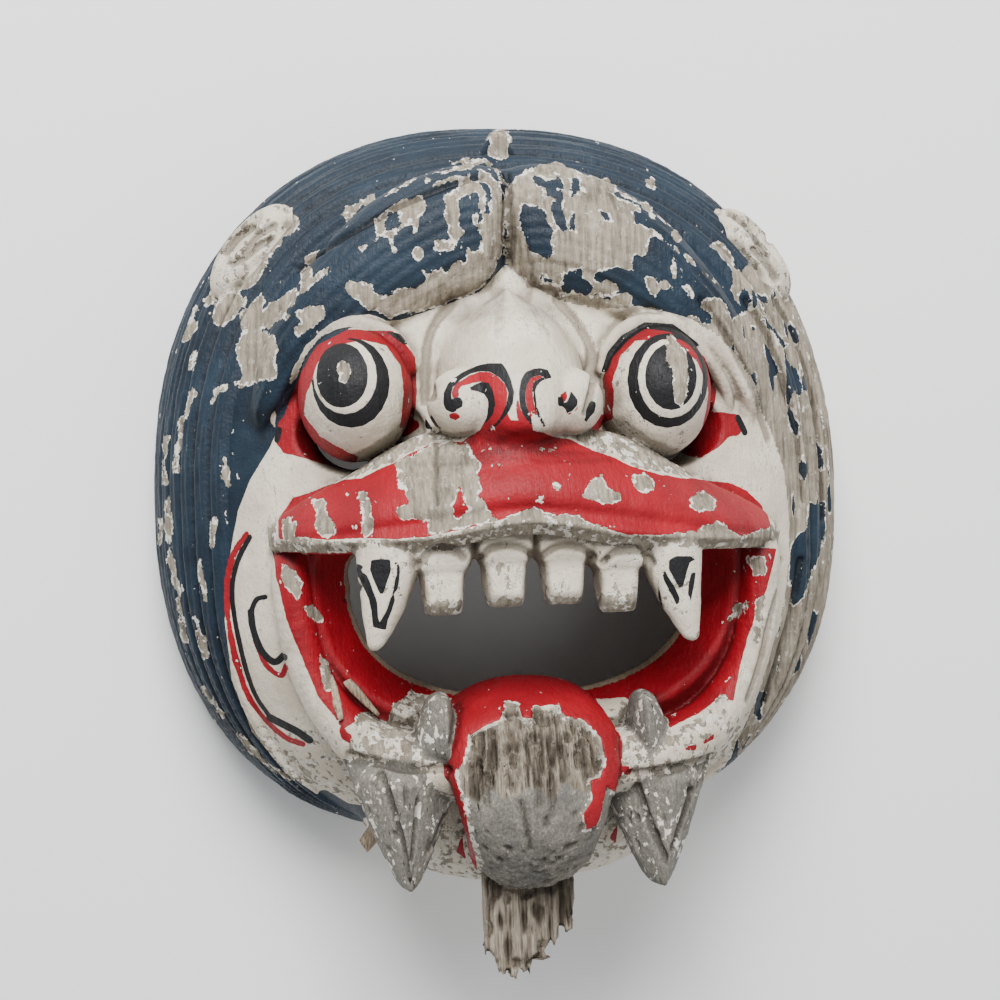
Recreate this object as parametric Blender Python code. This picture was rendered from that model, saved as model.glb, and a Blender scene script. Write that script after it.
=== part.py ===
"""A carved wooden barong mask, lying on its back rim with the face looking up.

Metres, +Z up. +Y runs from the chin to the crown of the head and +X to the right of the face as
one looks at it. The mask is one block of wood, so it is one object: head, jaw, lips, teeth,
tongue, eyes, nose and hair are shaped one by one and joined to it. Three small bits of wood that
were wedged into it are objects of their own.
"""

import bmesh
import bpy
import numpy as np
from mathutils import Matrix, Vector

MM = 0.001

# The head: its outline at the rim, its depth and its walls
HALF_WIDTH = 78.5 * MM
HALF_HEIGHT = 80 * MM
CROWN_SHARE = 1.075
CHIN_SHARE = 0.985
RIGHT_SHARE = 1.027
LEFT_SHARE = 0.978
FACE_DEPTH = 64 * MM
RIM_WALL = 9 * MM
FRONT_WALL = 12 * MM
OUTLINE_ROUNDNESS = 2.3
SECTION_ROUNDNESS = 2.6

# Hair: grooved strands round the head, and two thick locks that meet over the nose
STRANDS = 8
STRAND_HEIGHT = 1.7 * MM
HAIRLINE = 0.78
LOCK_THICKNESS = 10.5 * MM
LOCK_HALF_BREADTH = 14.2 * MM
KNOT_RADIUS = 6.5 * MM
KNOT_LENGTH = 11 * MM

# Eyes, nose and ears
EYE_HALF_WIDTH = 11.8 * MM
EYE_HALF_HEIGHT = 14 * MM
EYE_BULGE = 16 * MM
SOCKET_REACH = 17 * MM
NOSE_HALF_WIDTH = 16 * MM
NOSE_RISE = 23 * MM
NOSE_ROOT = 10 * MM
NOSTRIL_WING = 7 * MM
NOSTRIL_DIMPLE = 2.2 * MM
EYELID = 1.9 * MM
EAR_LENGTH = 25 * MM
EAR_WIDTH = 14 * MM
EAR_RISE = 5.5 * MM

# Mouth, lips, teeth and tongue
LIP_RISE = 22 * MM
LIP_EDGE = 3.2 * MM
LIP_BEAD = 1.2 * MM
LIP_RING = 4.2 * MM
MOUTH_SHIFT = 2.6 * MM
TOOTH_WIDTH = 12.4 * MM
TOOTH_DROP = 14.5 * MM
TOOTH_THICKNESS = 7.5 * MM
FANG_WIDTH = 11 * MM
FANG_DROP = 21 * MM
TONGUE_HALF_WIDTH = 17.4 * MM
TONGUE_RISE = 19 * MM
LOWER_FANG = 5 * MM

# Jaw, the pointed tufts under the lower lip and the broken stub below the tongue
JAW_HALF_WIDTH = 40 * MM
JAW_DROP = 31 * MM
JAW_DEPTH = 20 * MM
JAW_HEIGHT = 31 * MM
TUFT_WIDTH = 21.5 * MM
TUFT_DROP = 26 * MM
TUFT_RISE = 11 * MM
STUB_WIDTH = 19.5 * MM
STUB_LENGTH = 20 * MM
STUB_THICKNESS = 6.5 * MM

# The loose bits of wood, and the gap round each in its own slot
PEG_DIAMETER = 4.2 * MM
PEG_LENGTH = 12 * MM
SLIVER_LENGTH = 10.5 * MM
SLIVER_WIDTH = 2.4 * MM
SLIVER_THICKNESS = 1.8 * MM
SLOT_GAP = 0.3 * MM

RAKE = 1.0 * MM
SIDES = (("left", -1), ("right", 1))


def power(values, exponent):
    """A power that keeps the sign, for rounded-square outlines."""
    return np.sign(values) * np.abs(values) ** exponent


def smooth(start, end, value):
    """0 before start, 1 after end, and an S-curve between them."""
    t = np.clip((np.asarray(value, float) - start) / (end - start), 0, 1)
    return t * t * (3 - 2 * t)


def reach(x, y):
    """Half width and half height of the head on the side that a place or direction points to."""
    wide = HALF_WIDTH * np.where(np.asarray(x) > 0, RIGHT_SHARE, LEFT_SHARE)
    tall = HALF_HEIGHT * np.where(np.asarray(y) > 0, CROWN_SHARE, CHIN_SHARE)
    return wide, tall


def head_share(x, y):
    """How far out on the head a place is: 0 at the middle of the face and 1 at the rim."""
    wide, tall = reach(x, y)
    n = OUTLINE_ROUNDNESS
    return (np.abs(x / wide) ** n + np.abs(y / tall) ** n) ** (1 / n)


def head_height(x, y):
    """Height of the plain rounded head above the rim."""
    m = SECTION_ROUNDNESS
    share = np.clip(head_share(x, y), 0, 1)
    return FACE_DEPTH * (1 - share**m) ** (1 / m)


def place(across, up, rise=0.0):
    """A point on the head: across and up as shares of its half width and half height."""
    x, y = across * HALF_WIDTH, up * HALF_HEIGHT
    return Vector((x, y, float(head_height(x, y)) + rise))


def places(rows):
    """Several such points as an array, the rise in each row being a share of the face's depth."""
    return np.array([place(across, up, rise * FACE_DEPTH) for across, up, rise in rows])


def along(rows, count):
    """Rows of values read at count even steps, on a smooth curve through the given rows."""
    rows = np.asarray(rows, float)
    ends = np.concatenate([2 * rows[:1] - rows[1:2], rows, 2 * rows[-1:] - rows[-2:-1]])
    steps = np.linspace(0, len(rows) - 1, count)
    first = np.minimum(steps.astype(int), len(rows) - 2)
    t = (steps - first)[:, None]
    a, b, c, d = (ends[first + k] for k in range(4))
    return 0.5 * (2 * b + (c - a) * t + (2 * a - 5 * b + 4 * c - d) * t**2 + (3 * b - a - 3 * c + d) * t**3)


def skin_on_head(x, y):
    """A matrix at a place on the head: X runs with the strands of hair and Z points outwards."""
    step = HALF_WIDTH / 800
    height = head_height(x, y)
    slope_x = (head_height(x + step, y) - height) / step
    slope_y = (head_height(x, y + step) - height) / step
    outwards = Vector((-slope_x, -slope_y, 1)).normalized()
    sideways = Vector((x, y, 0)).cross(Vector((0, 0, 1))).normalized()
    across = outwards.cross(sideways).normalized()
    turn = Matrix((sideways, across, outwards)).transposed().to_4x4()
    return Matrix.Translation((x, y, float(height))) @ turn


def material(name, colour, roughness):
    made = bpy.data.materials.new(name)
    made.use_nodes = True
    shader = made.node_tree.nodes["Principled BSDF"]
    shader.inputs["Base Color"].default_value = (*colour, 1)
    shader.inputs["Roughness"].default_value = roughness
    shader.inputs["Metallic"].default_value = 0
    return made


def solid(name, build):
    """An object whose mesh is what build makes in a bmesh, in triangles that point out."""
    shape = bmesh.new()
    build(shape)
    bmesh.ops.triangulate(shape, faces=shape.faces)
    bmesh.ops.recalc_face_normals(shape, faces=shape.faces)
    mesh = bpy.data.meshes.new(name)
    shape.to_mesh(mesh)
    shape.free()
    made = bpy.data.objects.new(name, mesh)
    bpy.context.scene.collection.objects.link(made)
    return made


def loft(name, rings):
    """A solid skinned over flat closed rings of equally many points, with a face over each end."""
    rings = np.asarray(rings, float)

    def build(shape):
        loops = [[shape.verts.new(point) for point in ring] for ring in rings]
        for low, high in zip(loops, loops[1:]):
            for k in range(len(low)):
                j = (k + 1) % len(low)
                shape.faces.new((low[k], low[j], high[j], high[k]))
        for loop in (loops[0], loops[-1]):
            shape.faces.new(loop)

    return solid(name, build)


def ellipsoid(name, centre, radii, turn=Matrix(), segments=15, rings=9):
    """A stretched ball round centre, turned by a matrix."""
    size = Matrix.Diagonal((*radii, 1))
    stand = Matrix.Translation(centre) @ turn @ size
    return solid(
        name,
        lambda shape: bmesh.ops.create_uvsphere(
            shape, u_segments=segments, v_segments=rings, radius=1, matrix=stand
        ),
    )


def boolean(body, name, others, operation):
    """Joins the other shapes to body, or cuts them out, and leaves them as wire guides."""
    group = bpy.data.collections.new(name)
    step = body.modifiers.new(name, "BOOLEAN")
    step.operation = operation
    step.operand_type = "COLLECTION"
    step.collection = group
    step.solver = "EXACT"
    for other in others:
        group.objects.link(other)
        other.hide_render = True
        other.display_type = "WIRE"


def join(body, name, others):
    boolean(body, name, others, "UNION")


def cut(body, name, others):
    boolean(body, name, others, "DIFFERENCE")


# Head and hollow


def dome_ring(around, share, height):
    """One closed ring of the head, at a share of the way out and a height above the rim."""
    wide, tall = reach(np.cos(around), np.sin(around))
    x = wide * share * power(np.cos(around), 2 / OUTLINE_ROUNDNESS)
    y = tall * share * power(np.sin(around), 2 / OUTLINE_ROUNDNESS)
    return np.stack([x, y, np.broadcast_to(height, x.shape)], axis=1)


def hairline(around):
    """Share of the way out at which the hair ends and the face begins. It meets the rim at the chin."""
    below = np.clip(-np.sin(around), 0, 1)
    return HAIRLINE + (0.985 - HAIRLINE) * below**1.5


def build_head():
    """The rounded head: a flat back, grooved strands of hair round its side and a plain front."""
    around = np.linspace(0, 2 * np.pi, 48, endpoint=False)
    m = SECTION_ROUNDNESS
    edge = np.arccos(hairline(around) ** (m / 2))
    fade = 1 - smooth(0.80, 0.97, -np.sin(around))
    rings = []
    for k in range(2 * STRANDS + 1):
        angle = edge * k / (2 * STRANDS)
        share, height = np.cos(angle) ** (2 / m), FACE_DEPTH * np.sin(angle) ** (2 / m)
        ring = dome_ring(around, share, height)
        outwards = ring / np.array([HALF_WIDTH, HALF_HEIGHT, FACE_DEPTH]) ** 2
        outwards /= np.linalg.norm(outwards, axis=1)[:, None]
        crest = STRAND_HEIGHT * (0.5 if k % 2 else -0.5) if k else 0
        rings.append(ring + outwards * (crest * fade)[:, None])
    for t in np.linspace(0, 1, 7)[1:-1]:
        angle = edge + (np.pi / 2 - edge) * t
        rings.append(dome_ring(around, np.cos(angle) ** (2 / m), FACE_DEPTH * np.sin(angle) ** (2 / m)))
    return loft("mask", rings)


def build_hollow():
    """What is carved out from behind: the head's own form, smaller by the walls."""
    around = np.linspace(0, 2 * np.pi, 28, endpoint=False)
    m = SECTION_ROUNDNESS
    side = (HALF_WIDTH - RIM_WALL) / HALF_WIDTH
    deep = FACE_DEPTH - FRONT_WALL
    rings = [dome_ring(around, side, -RIM_WALL / 2)]
    for angle in np.linspace(0, np.pi / 2, 8)[:-1]:
        share, height = np.cos(angle) ** (2 / m) * side, deep * np.sin(angle) ** (2 / m)
        rings.append(dome_ring(around, share, height))
    return loft("hollow", rings)


def build_jaw():
    """The white chin: a rounded block that stands out below the rim of the head."""
    y = -0.675 * HALF_HEIGHT
    around = np.linspace(0, 2 * np.pi, 20, endpoint=False)
    rings = []
    for angle in np.linspace(-np.pi / 2, np.pi / 2, 9)[1:-1]:
        share = np.cos(angle) ** 0.7
        ring_x = MOUTH_SHIFT + JAW_HALF_WIDTH * share * power(np.cos(around), 0.85)
        ring_y = y + JAW_DROP * share * power(np.sin(around), 0.85)
        ring_z = np.full(20, JAW_HEIGHT + JAW_DEPTH * np.sin(angle))
        rings.append(np.stack([ring_x, ring_y, ring_z], axis=1))
    return loft("jaw", rings)


# Hair locks, knot and ears

LOCK_PATH = [
    # across, up, rise as a share of the face's depth, half breadth and thickness as shares
    (-0.012, 0.695, -0.016, 0.87, 0.55),
    (0.035, 0.705, -0.008, 0.96, 0.93),
    (0.11, 0.705, 0.0, 1.0, 1.0),
    (0.21, 0.675, 0.0, 0.97, 1.0),
    (0.33, 0.610, 0.0, 0.89, 0.92),
    (0.46, 0.510, 0.0, 0.69, 0.80),
    (0.58, 0.390, 0.0, 0.465, 0.62),
    (0.65, 0.270, -0.008, 0.255, 0.42),
    (0.675, 0.20, -0.031, 0.115, 0.25),
]


def build_lock(name, side):
    """One thick lock of hair from over the nose round the top of the eye, on side -1 or 1."""
    path = along(LOCK_PATH, 13)
    spine = places([(side * across, up, rise) for across, up, rise in path[:, :3]])
    run = np.gradient(spine[:, :2], axis=0)
    run /= np.linalg.norm(run, axis=1)[:, None]
    around = np.linspace(0, 2 * np.pi, 12, endpoint=False)
    rings = []
    for middle, direction, (half, thick) in zip(spine, run, path[:, 3:]):
        sideways = np.array([-direction[1], direction[0], 0]) * half * LOCK_HALF_BREADTH
        up = np.array([0, 0, 1]) * LOCK_THICKNESS * thick
        ring = power(np.cos(around), 0.9)[:, None] * sideways
        rings.append(middle + ring + power(np.sin(around), 0.75)[:, None] * up)
    return loft(name, rings)


def build_knot():
    """The little broken knot where the strands meet on top of the head."""
    stand = Matrix.Translation(place(0.012, 0.95, -0.09 * KNOT_LENGTH)) @ Matrix.Rotation(-0.9, 4, "X")
    return solid(
        "knot",
        lambda shape: bmesh.ops.create_cone(
            shape,
            cap_ends=True,
            segments=9,
            radius1=KNOT_RADIUS,
            radius2=KNOT_RADIUS / 4,
            depth=KNOT_LENGTH,
            matrix=stand,
        ),
    )


def build_ear(name, across, up):
    """An ear laid flat on the hair, long along the strands, and its scooped hollow."""
    stand = skin_on_head(across * HALF_WIDTH, up * HALF_HEIGHT)
    half = Vector((EAR_LENGTH / 2, EAR_WIDTH / 2, EAR_RISE))
    ear = ellipsoid(name, stand.translation, half, stand.to_3x3().to_4x4(), 12, 8)
    scoop_size = (half.x * 0.66, half.y * 0.55, half.z * 0.6)
    middle = stand @ Vector((0, 0, half.z))
    scoop = ellipsoid(name + "_scoop", middle, scoop_size, stand.to_3x3().to_4x4(), 10, 6)
    return ear, scoop


# Eyes and nose

SOCKET_RINGS = [
    # height as a share of the eye's bulge, then width and height of the ring as shares
    (-1.5, 0.35, 0.72),
    (-0.56, 0.48, 0.84),
    (0.0, 0.86, 0.94),
    (1.375, 1.1, 1.05),
]


def build_eyeball(name, across, up):
    middle = place(across, up)
    return ellipsoid(name, middle, (EYE_HALF_WIDTH, EYE_HALF_HEIGHT, EYE_BULGE))


def build_socket(name, across, up):
    """The pocket under an eye. It narrows inwards, so that only a slit opens into the hollow."""
    middle = place(across, up)
    around = np.linspace(0, 2 * np.pi, 16, endpoint=False)
    rings = []
    for depth, wide, tall in SOCKET_RINGS:
        x = middle.x + SOCKET_REACH * wide * power(np.cos(around), 1.25)
        y = middle.y + EYE_HALF_HEIGHT * 0.66 * tall * np.sin(around)
        rings.append(np.stack([x, y, np.full(16, middle.z + depth * EYE_BULGE)], axis=1))
    return loft(name, rings)


def build_lid(name, side, across, up):
    """The roll of the upper eyelid, from beside the nose over the eye to the outer corner."""
    middle = place(across, up)
    angles = np.radians(np.linspace(20, 205, 10))
    wide = EYE_HALF_WIDTH + EYELID * (0.2 + 3.0 * smooth(2.4, 3.5, angles))
    tall = EYE_HALF_HEIGHT + EYELID * 0.2
    x = middle.x - side * wide * np.cos(angles)
    y = middle.y + tall * np.sin(angles)
    arch = np.sin(np.clip(angles * 0.9, 0, np.pi)) ** 0.7
    z = head_height(x, y) + EYE_BULGE * (0.30 * arch - 0.08)
    spine = np.stack([x, y, z], axis=1)
    thick = EYELID * (0.35 + 0.85 * arch)
    return tube(name, spine, thick, 1.5, 6)


def build_nose():
    """The broad snout: rounded sections from between the brows down to over the lip."""
    rows = along(
        [
            # up, half width as a share, rise as a share
            (0.525, 0.22, 0.25),
            (0.475, 0.62, 0.52),
            (0.40, 0.90, 0.76),
            (0.32, 1.00, 0.93),
            (0.24, 0.98, 1.0),
            (0.17, 0.80, 0.96),
            (0.13, 0.48, 0.7),
        ],
        11,
    )
    around = np.linspace(0, 2 * np.pi, 16, endpoint=False)
    rings = []
    for up, wide, rise in rows:
        low = place(-0.012, up, -NOSE_ROOT)
        x = low.x + NOSE_HALF_WIDTH * wide * np.cos(around)
        z = low.z + (NOSE_RISE * rise + NOSE_ROOT) * np.maximum(power(np.sin(around), 0.9), -0.3)
        rings.append(np.stack([x, np.full(16, low.y), z], axis=1))
    return loft("nose", rings)


# Mouth

TEETH = ((-0.225, -0.10), (-0.068, -0.085), (0.083, -0.085), (0.223, -0.11))
TOOTH_RINGS = [
    # how far down the tooth, then its width and thickness there as shares
    (-0.3, 1, 1),
    (0.14, 1, 1),
    (0.40, 0.76, 0.88),
    (0.84, 0.66, 0.75),
    (1, 0.52, 0.45),
]


def mouth_outline(wide, top, bottom, height):
    """A D lying on its back: square corners above and a deep round below, as one ring."""
    around = np.linspace(0, 2 * np.pi, 32, endpoint=False)
    x = wide * power(np.cos(around), 0.78)
    up = np.sin(around)
    middle = top - (top - bottom) * 0.34
    y = middle + np.where(up > 0, (top - middle) * power(up, 0.5), (middle - bottom) * power(up, 0.85))
    return np.stack([x, y, np.full(32, height)], axis=1)


def build_mouth():
    """The open mouth, wide in front and narrower where it breaks into the hollow."""
    rings = []
    for wide, top, bottom, height in (
        (0.430, -0.10, -0.48, 0.40),
        (0.450, -0.09, -0.505, 0.70),
        (0.575, -0.04, -0.61, 0.90),
        (0.610, -0.02, -0.635, 1.50),
    ):
        outline = mouth_outline(wide * HALF_WIDTH, top * HALF_HEIGHT, bottom * HALF_HEIGHT, 0)
        rings.append(outline + np.array([0, 0, height * FACE_DEPTH]))
    return loft("mouth", np.array(rings) + np.array([MOUTH_SHIFT, 0, 0]))


def tube(name, spine, radii, tall, sides):
    """A solid rod along a spine with its own radius at each point, tall times as high as wide."""
    run = np.gradient(spine, axis=0)
    run /= np.linalg.norm(run, axis=1)[:, None]
    around = np.linspace(0, 2 * np.pi, sides, endpoint=False)
    rings = []
    for middle, direction, radius in zip(spine, run, radii):
        sideways = np.cross(direction, (0, 0, 1))
        sideways /= np.linalg.norm(sideways)
        outwards = np.cross(sideways, direction)
        ring = np.cos(around)[:, None] * sideways + tall * np.sin(around)[:, None] * outwards
        rings.append(middle + radius * ring)
    return loft(name, rings)


def build_lip_ring(name, side):
    """The raised edge round one side of the mouth, from the upper lip to the tongue."""
    rows = [
        (0.625, -0.085, -0.03),
        (0.635, -0.20, 0.016),
        (0.60, -0.42, 0.04),
        (0.50, -0.585, 0.078),
        (0.36, -0.67, 0.125),
        (0.16, -0.70, 0.125),
    ]
    spine = along(places([(side * across, up, rise) for across, up, rise in rows]), 12)
    spine[:, 0] += MOUTH_SHIFT
    t = np.linspace(0, 1, 12)
    thick = LIP_RING * (0.75 + 0.25 * smooth(0, 0.2, t) + 0.6 * smooth(0.4, 0.9, t))
    return tube(name, spine, thick, 1.5, 9)


def build_upper_lip():
    """The broad lip, an awning from under the nose to a thick lower edge over the teeth."""
    rows = along(
        [
            # across, upper edge, lower edge, rise at the upper edge and at the lower edge
            (-0.66, -0.06, -0.10, 0.10, 0.16),
            (-0.60, -0.005, -0.10, 0.18, 0.42),
            (-0.45, 0.075, -0.105, 0.25, 0.75),
            (-0.245, 0.175, -0.10, 0.35, 0.90),
            (-0.02, 0.155, -0.068, 0.62, 1.0),
            (0.225, 0.165, -0.105, 0.35, 0.92),
            (0.46, 0.05, -0.125, 0.25, 0.78),
            (0.64, -0.03, -0.13, 0.18, 0.45),
            (0.735, -0.09, -0.13, 0.08, 0.16),
        ],
        21,
    )
    rings = []
    for across, top, low, rise_top, rise_low in rows:
        high = place(across, top, LIP_RISE * rise_top)
        edge = place(across, low, LIP_RISE * rise_low)
        back = edge.z - LIP_RISE
        t = np.array([0, 0.1, 0.3, 0.55, 0.78, 0.86, 0.94, 1.0])
        y = high.y + (edge.y - high.y) * t
        slope = high.z + (edge.z - high.z) * smooth(-0.3, 1.05, t)
        bulge = LIP_RISE * 0.12 * (0.3 + rise_low) * np.sin(np.pi * t)
        crest = np.exp(-(((t - 0.95) / 0.06) ** 2))
        groove = np.exp(-(((t - 0.8) / 0.06) ** 2))
        bead = LIP_BEAD * rise_low * (crest - 0.7 * groove)
        front = np.stack([np.full(8, high.x), y, slope + bulge + bead], axis=1)
        under = [
            (high.x, edge.y - LIP_EDGE * 0.5, edge.z - LIP_EDGE * 0.8),
            (high.x, edge.y + LIP_EDGE * 0.2, edge.z - LIP_EDGE * 1.7),
            (high.x, edge.y + LIP_EDGE * 0.45, back),
            (high.x, high.y - LIP_EDGE * 0.15, back),
        ]
        rings.append(np.concatenate([front, under]))
    return loft("upper_lip", rings)


def build_tooth(name, across, up, drop):
    """An incisor: wide at the gum, narrower below, with a flat bevelled end."""
    root = place(across, up, LIP_RISE * 0.62)
    corners = np.array([(-1, -1), (-0.55, 1), (0.55, 1), (1, -1)])
    rings = []
    for down, wide, thick in TOOTH_RINGS:
        flat = np.stack(
            [
                root.x + corners[:, 0] * TOOTH_WIDTH / 2 * wide,
                np.full(4, root.y - drop * down),
                root.z + corners[:, 1] * TOOTH_THICKNESS / 2 * thick - TOOTH_THICKNESS / 5 * (1 - thick),
            ],
            axis=1,
        )
        rings.append(flat)
    return loft(name, rings)


def build_fang(name, across, up, side):
    """An upper fang: an oval horn that curves down to a blunt point."""
    root = place(across, up, LIP_RISE * 0.60)
    around = np.linspace(0, 2 * np.pi, 8, endpoint=False)
    rings = []
    for t in np.linspace(-0.15, 1, 7):
        half = FANG_WIDTH / 2 * (1 - max(t, 0) ** 1.6 * 0.82)
        lean = side * FANG_WIDTH * 0.28 * max(t, 0) ** 1.7
        rings.append(
            np.stack(
                [
                    root.x + lean + half * np.cos(around),
                    np.full(8, root.y - FANG_DROP * t),
                    root.z + FANG_DROP * 0.12 * t + half * 0.85 * np.sin(around),
                ],
                axis=1,
            )
        )
    return loft(name, rings)


def build_tongue():
    """The tongue: it rises out of the mouth, folds over the lower lip and hangs in front of the jaw."""
    rows = along(
        [
            # up, height as a share of the face's depth, half width as a share
            (-0.47, 0.62, 0.90),
            (-0.475, 0.86, 0.98),
            (-0.53, 1.10, 1.04),
            (-0.66, 1.21, 1.02),
            (-0.80, 1.22, 0.93),
            (-0.93, 1.13, 0.83),
            (-1.02, 0.93, 0.74),
            (-1.00, 0.68, 0.62),
        ],
        13,
    )
    base = rows[:, 1] * FACE_DEPTH
    spine = np.stack([np.full(13, 0.006 * HALF_WIDTH), rows[:, 0] * HALF_HEIGHT, base], 1)
    run = np.gradient(spine, axis=0)
    run /= np.linalg.norm(run, axis=1)[:, None]
    outwards = np.stack([np.zeros(13), run[:, 2], -run[:, 1]], axis=1)
    bow = np.linspace(-1, 1, 10)
    rings = []
    for middle, out, width in zip(spine, outwards, rows[:, 2]):
        x = TONGUE_HALF_WIDTH * width * np.sin(bow * np.pi / 2)
        sink = TONGUE_RISE * 0.5 * (1 - np.cos(bow * np.pi / 2)) ** 1.1
        top = middle + x[:, None] * np.array([1, 0, 0]) - sink[:, None] * out
        core = middle - out * TONGUE_RISE * 0.72
        bottom = core + np.array([0.5, -0.5])[:, None] * TONGUE_HALF_WIDTH * width * np.array([1, 0, 0])
        rings.append(np.concatenate([top, bottom]))
    return loft("tongue", rings)


def build_lower_fang(name, across, up, lean):
    """The worn root of a lower fang: a blunt cone beside the tongue."""
    foot = place(across, up, LOWER_FANG * 0.4)
    tip = place(across, up, LOWER_FANG * 3.6) + Vector((lean * LOWER_FANG * 0.2, -LOWER_FANG * 0.2, 0))
    around = np.linspace(0, 2 * np.pi, 12, endpoint=False)
    rings = []
    for t, wide in ((0, 1.35), (0.45, 1.22), (0.75, 1.0), (0.93, 0.7), (1.0, 0.35)):
        middle = foot.lerp(tip, t)
        rings.append(
            np.stack(
                [
                    middle.x + LOWER_FANG * wide * np.cos(around),
                    middle.y + LOWER_FANG * wide * 1.05 * np.sin(around),
                    np.full(12, middle.z),
                ],
                axis=1,
            )
        )
    return loft(name, rings)


def build_tuft(name, side, across, up):
    """A pointed tuft that hangs from the lower lip, with a sharp ridge down its front."""
    root = place(across, up, TUFT_RISE)
    rings = []
    for t in np.linspace(0, 1, 6):
        half = TUFT_WIDTH * (0.5 * (1 - t) ** 0.8 + 0.07)
        middle = root + Vector((0, -TUFT_DROP * t, TUFT_RISE * 0.14 * t))
        ridge = TUFT_RISE * (0.5 + 0.5 * (1 - t) ** 0.8) * min(1, 0.5 + 3 * t)
        back = -TUFT_RISE * (1.27 - 0.7 * t)
        rings.append(
            [
                middle + Vector((-half, 0, back)),
                middle + Vector((-half, 0, 0)),
                middle + Vector((side * TUFT_WIDTH * 0.1 * (1 - t), 0, ridge)),
                middle + Vector((half, 0, 0)),
                middle + Vector((half, 0, back)),
            ]
        )
    return loft(name, rings)


def build_stub():
    """The flat broken stub under the tongue, with a torn slanting end."""
    top = -0.95 * HALF_HEIGHT
    height = 0.86 * FACE_DEPTH
    across = np.array([-1, -0.6, -0.2, 0.25, 0.6, 1.0]) * STUB_WIDTH / 2
    torn = np.array([0.72, 1.0, 0.97, 0.80, 0.62, 0.50]) * STUB_LENGTH
    jag = np.array([0, 1, -1, 1, -1, 0]) * RAKE
    outline_top = np.stack([across, np.full(6, top)], axis=1)
    outline_low = np.stack([across * 0.93, -1.0 * HALF_HEIGHT - torn + jag], axis=1)[::-1]
    outline = np.concatenate([outline_top, outline_low])
    rings = []
    for lift, size in ((-0.5, 0.94), (-0.35, 1), (0.35, 1), (0.5, 0.94)):
        middle = outline.mean(axis=0)
        flat = middle + (outline - middle) * size
        rings.append(np.column_stack([flat, np.full(12, height + STUB_THICKNESS * lift)]))
    return loft("stub", rings)


# The loose bits of wood


def build_stick(name, start, end, half_width, half_thickness, point, grow=0.0):
    """A split stick from start to end, as wide at its end as point times its start."""
    run = (end - start).normalized()
    sideways = run.cross(Vector((0, 0, 1))).normalized()
    face = sideways.cross(run)
    rings = []
    for middle, wide in ((start - run * grow, 1.0), (end + run * grow, point)):
        a, b = half_width * wide + grow, half_thickness * wide + grow
        rings.append(
            [
                middle + sideways * a + face * b * 0.6,
                middle + sideways * a * 0.3 + face * b,
                middle - sideways * a + face * b * 0.7,
                middle - sideways * a - face * b,
                middle + sideways * a - face * b,
            ]
        )
    return loft(name, rings)


def build_peg(name, end, grow=0.0):
    """The round peg in the jaw, from its free end inwards."""
    inwards = Vector((0.62, 0.76, -0.18)).normalized()
    stand = Matrix.Translation(end + inwards * PEG_LENGTH / 2)
    stand = stand @ inwards.to_track_quat("Z", "Y").to_matrix().to_4x4()
    return solid(
        name,
        lambda shape: bmesh.ops.create_cone(
            shape,
            cap_ends=True,
            segments=14,
            radius1=PEG_DIAMETER / 2 + grow,
            radius2=PEG_DIAMETER / 2 * 0.9 + grow,
            depth=PEG_LENGTH + 2 * grow,
            matrix=stand,
        ),
    )


def build_eyes():
    """Both eyeballs and their upper lids."""
    shapes = []
    for label, side, across, up in (("left", -1, -0.42, 0.285), ("right", 1, 0.375, 0.27)):
        shapes.append(build_eyeball("eyeball_" + label, across, up))
        shapes.append(build_lid("lid_" + label, side, across, up))
    return shapes


def build_nostrils():
    """The two curled wings of the nose and the dimple in each."""
    wings = []
    dimples = []
    for label, across, up, inwards in (("left", -0.155, 0.245, 0.15), ("right", 0.112, 0.24, -0.3)):
        middle = place(across, up, NOSE_RISE * 0.5)
        size = (NOSTRIL_WING * 1.05, NOSTRIL_WING, NOSTRIL_WING * 1.1)
        wings.append(ellipsoid("nostril_wing_" + label, middle, size, segments=11, rings=7))
        dent = middle + Vector((NOSTRIL_WING * inwards, 0, NOSTRIL_WING))
        dimples.append(ellipsoid("nostril_" + label, dent, [NOSTRIL_DIMPLE] * 3, segments=8, rings=6))
    return wings, dimples


def build_mouth_parts():
    """Everything that stands in and round the mouth."""
    shapes = [build_upper_lip(), build_tongue(), build_stub()]
    for number, (across, up) in enumerate(TEETH):
        shapes.append(build_tooth(f"tooth_{number + 1}", across, up, TOOTH_DROP))
    shapes.append(build_fang("fang_left", -0.345, -0.10, -1))
    shapes.append(build_fang("fang_right", 0.36, -0.11, 1))
    shapes.append(build_lower_fang("lower_fang_left", -0.28, -0.58, -1))
    shapes.append(build_lower_fang("lower_fang_right", 0.285, -0.605, 1))
    shapes.append(build_tuft("tuft_left", -1, -0.325, -0.66))
    shapes.append(build_tuft("tuft_right", 1, 0.345, -0.69))
    return shapes


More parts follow.
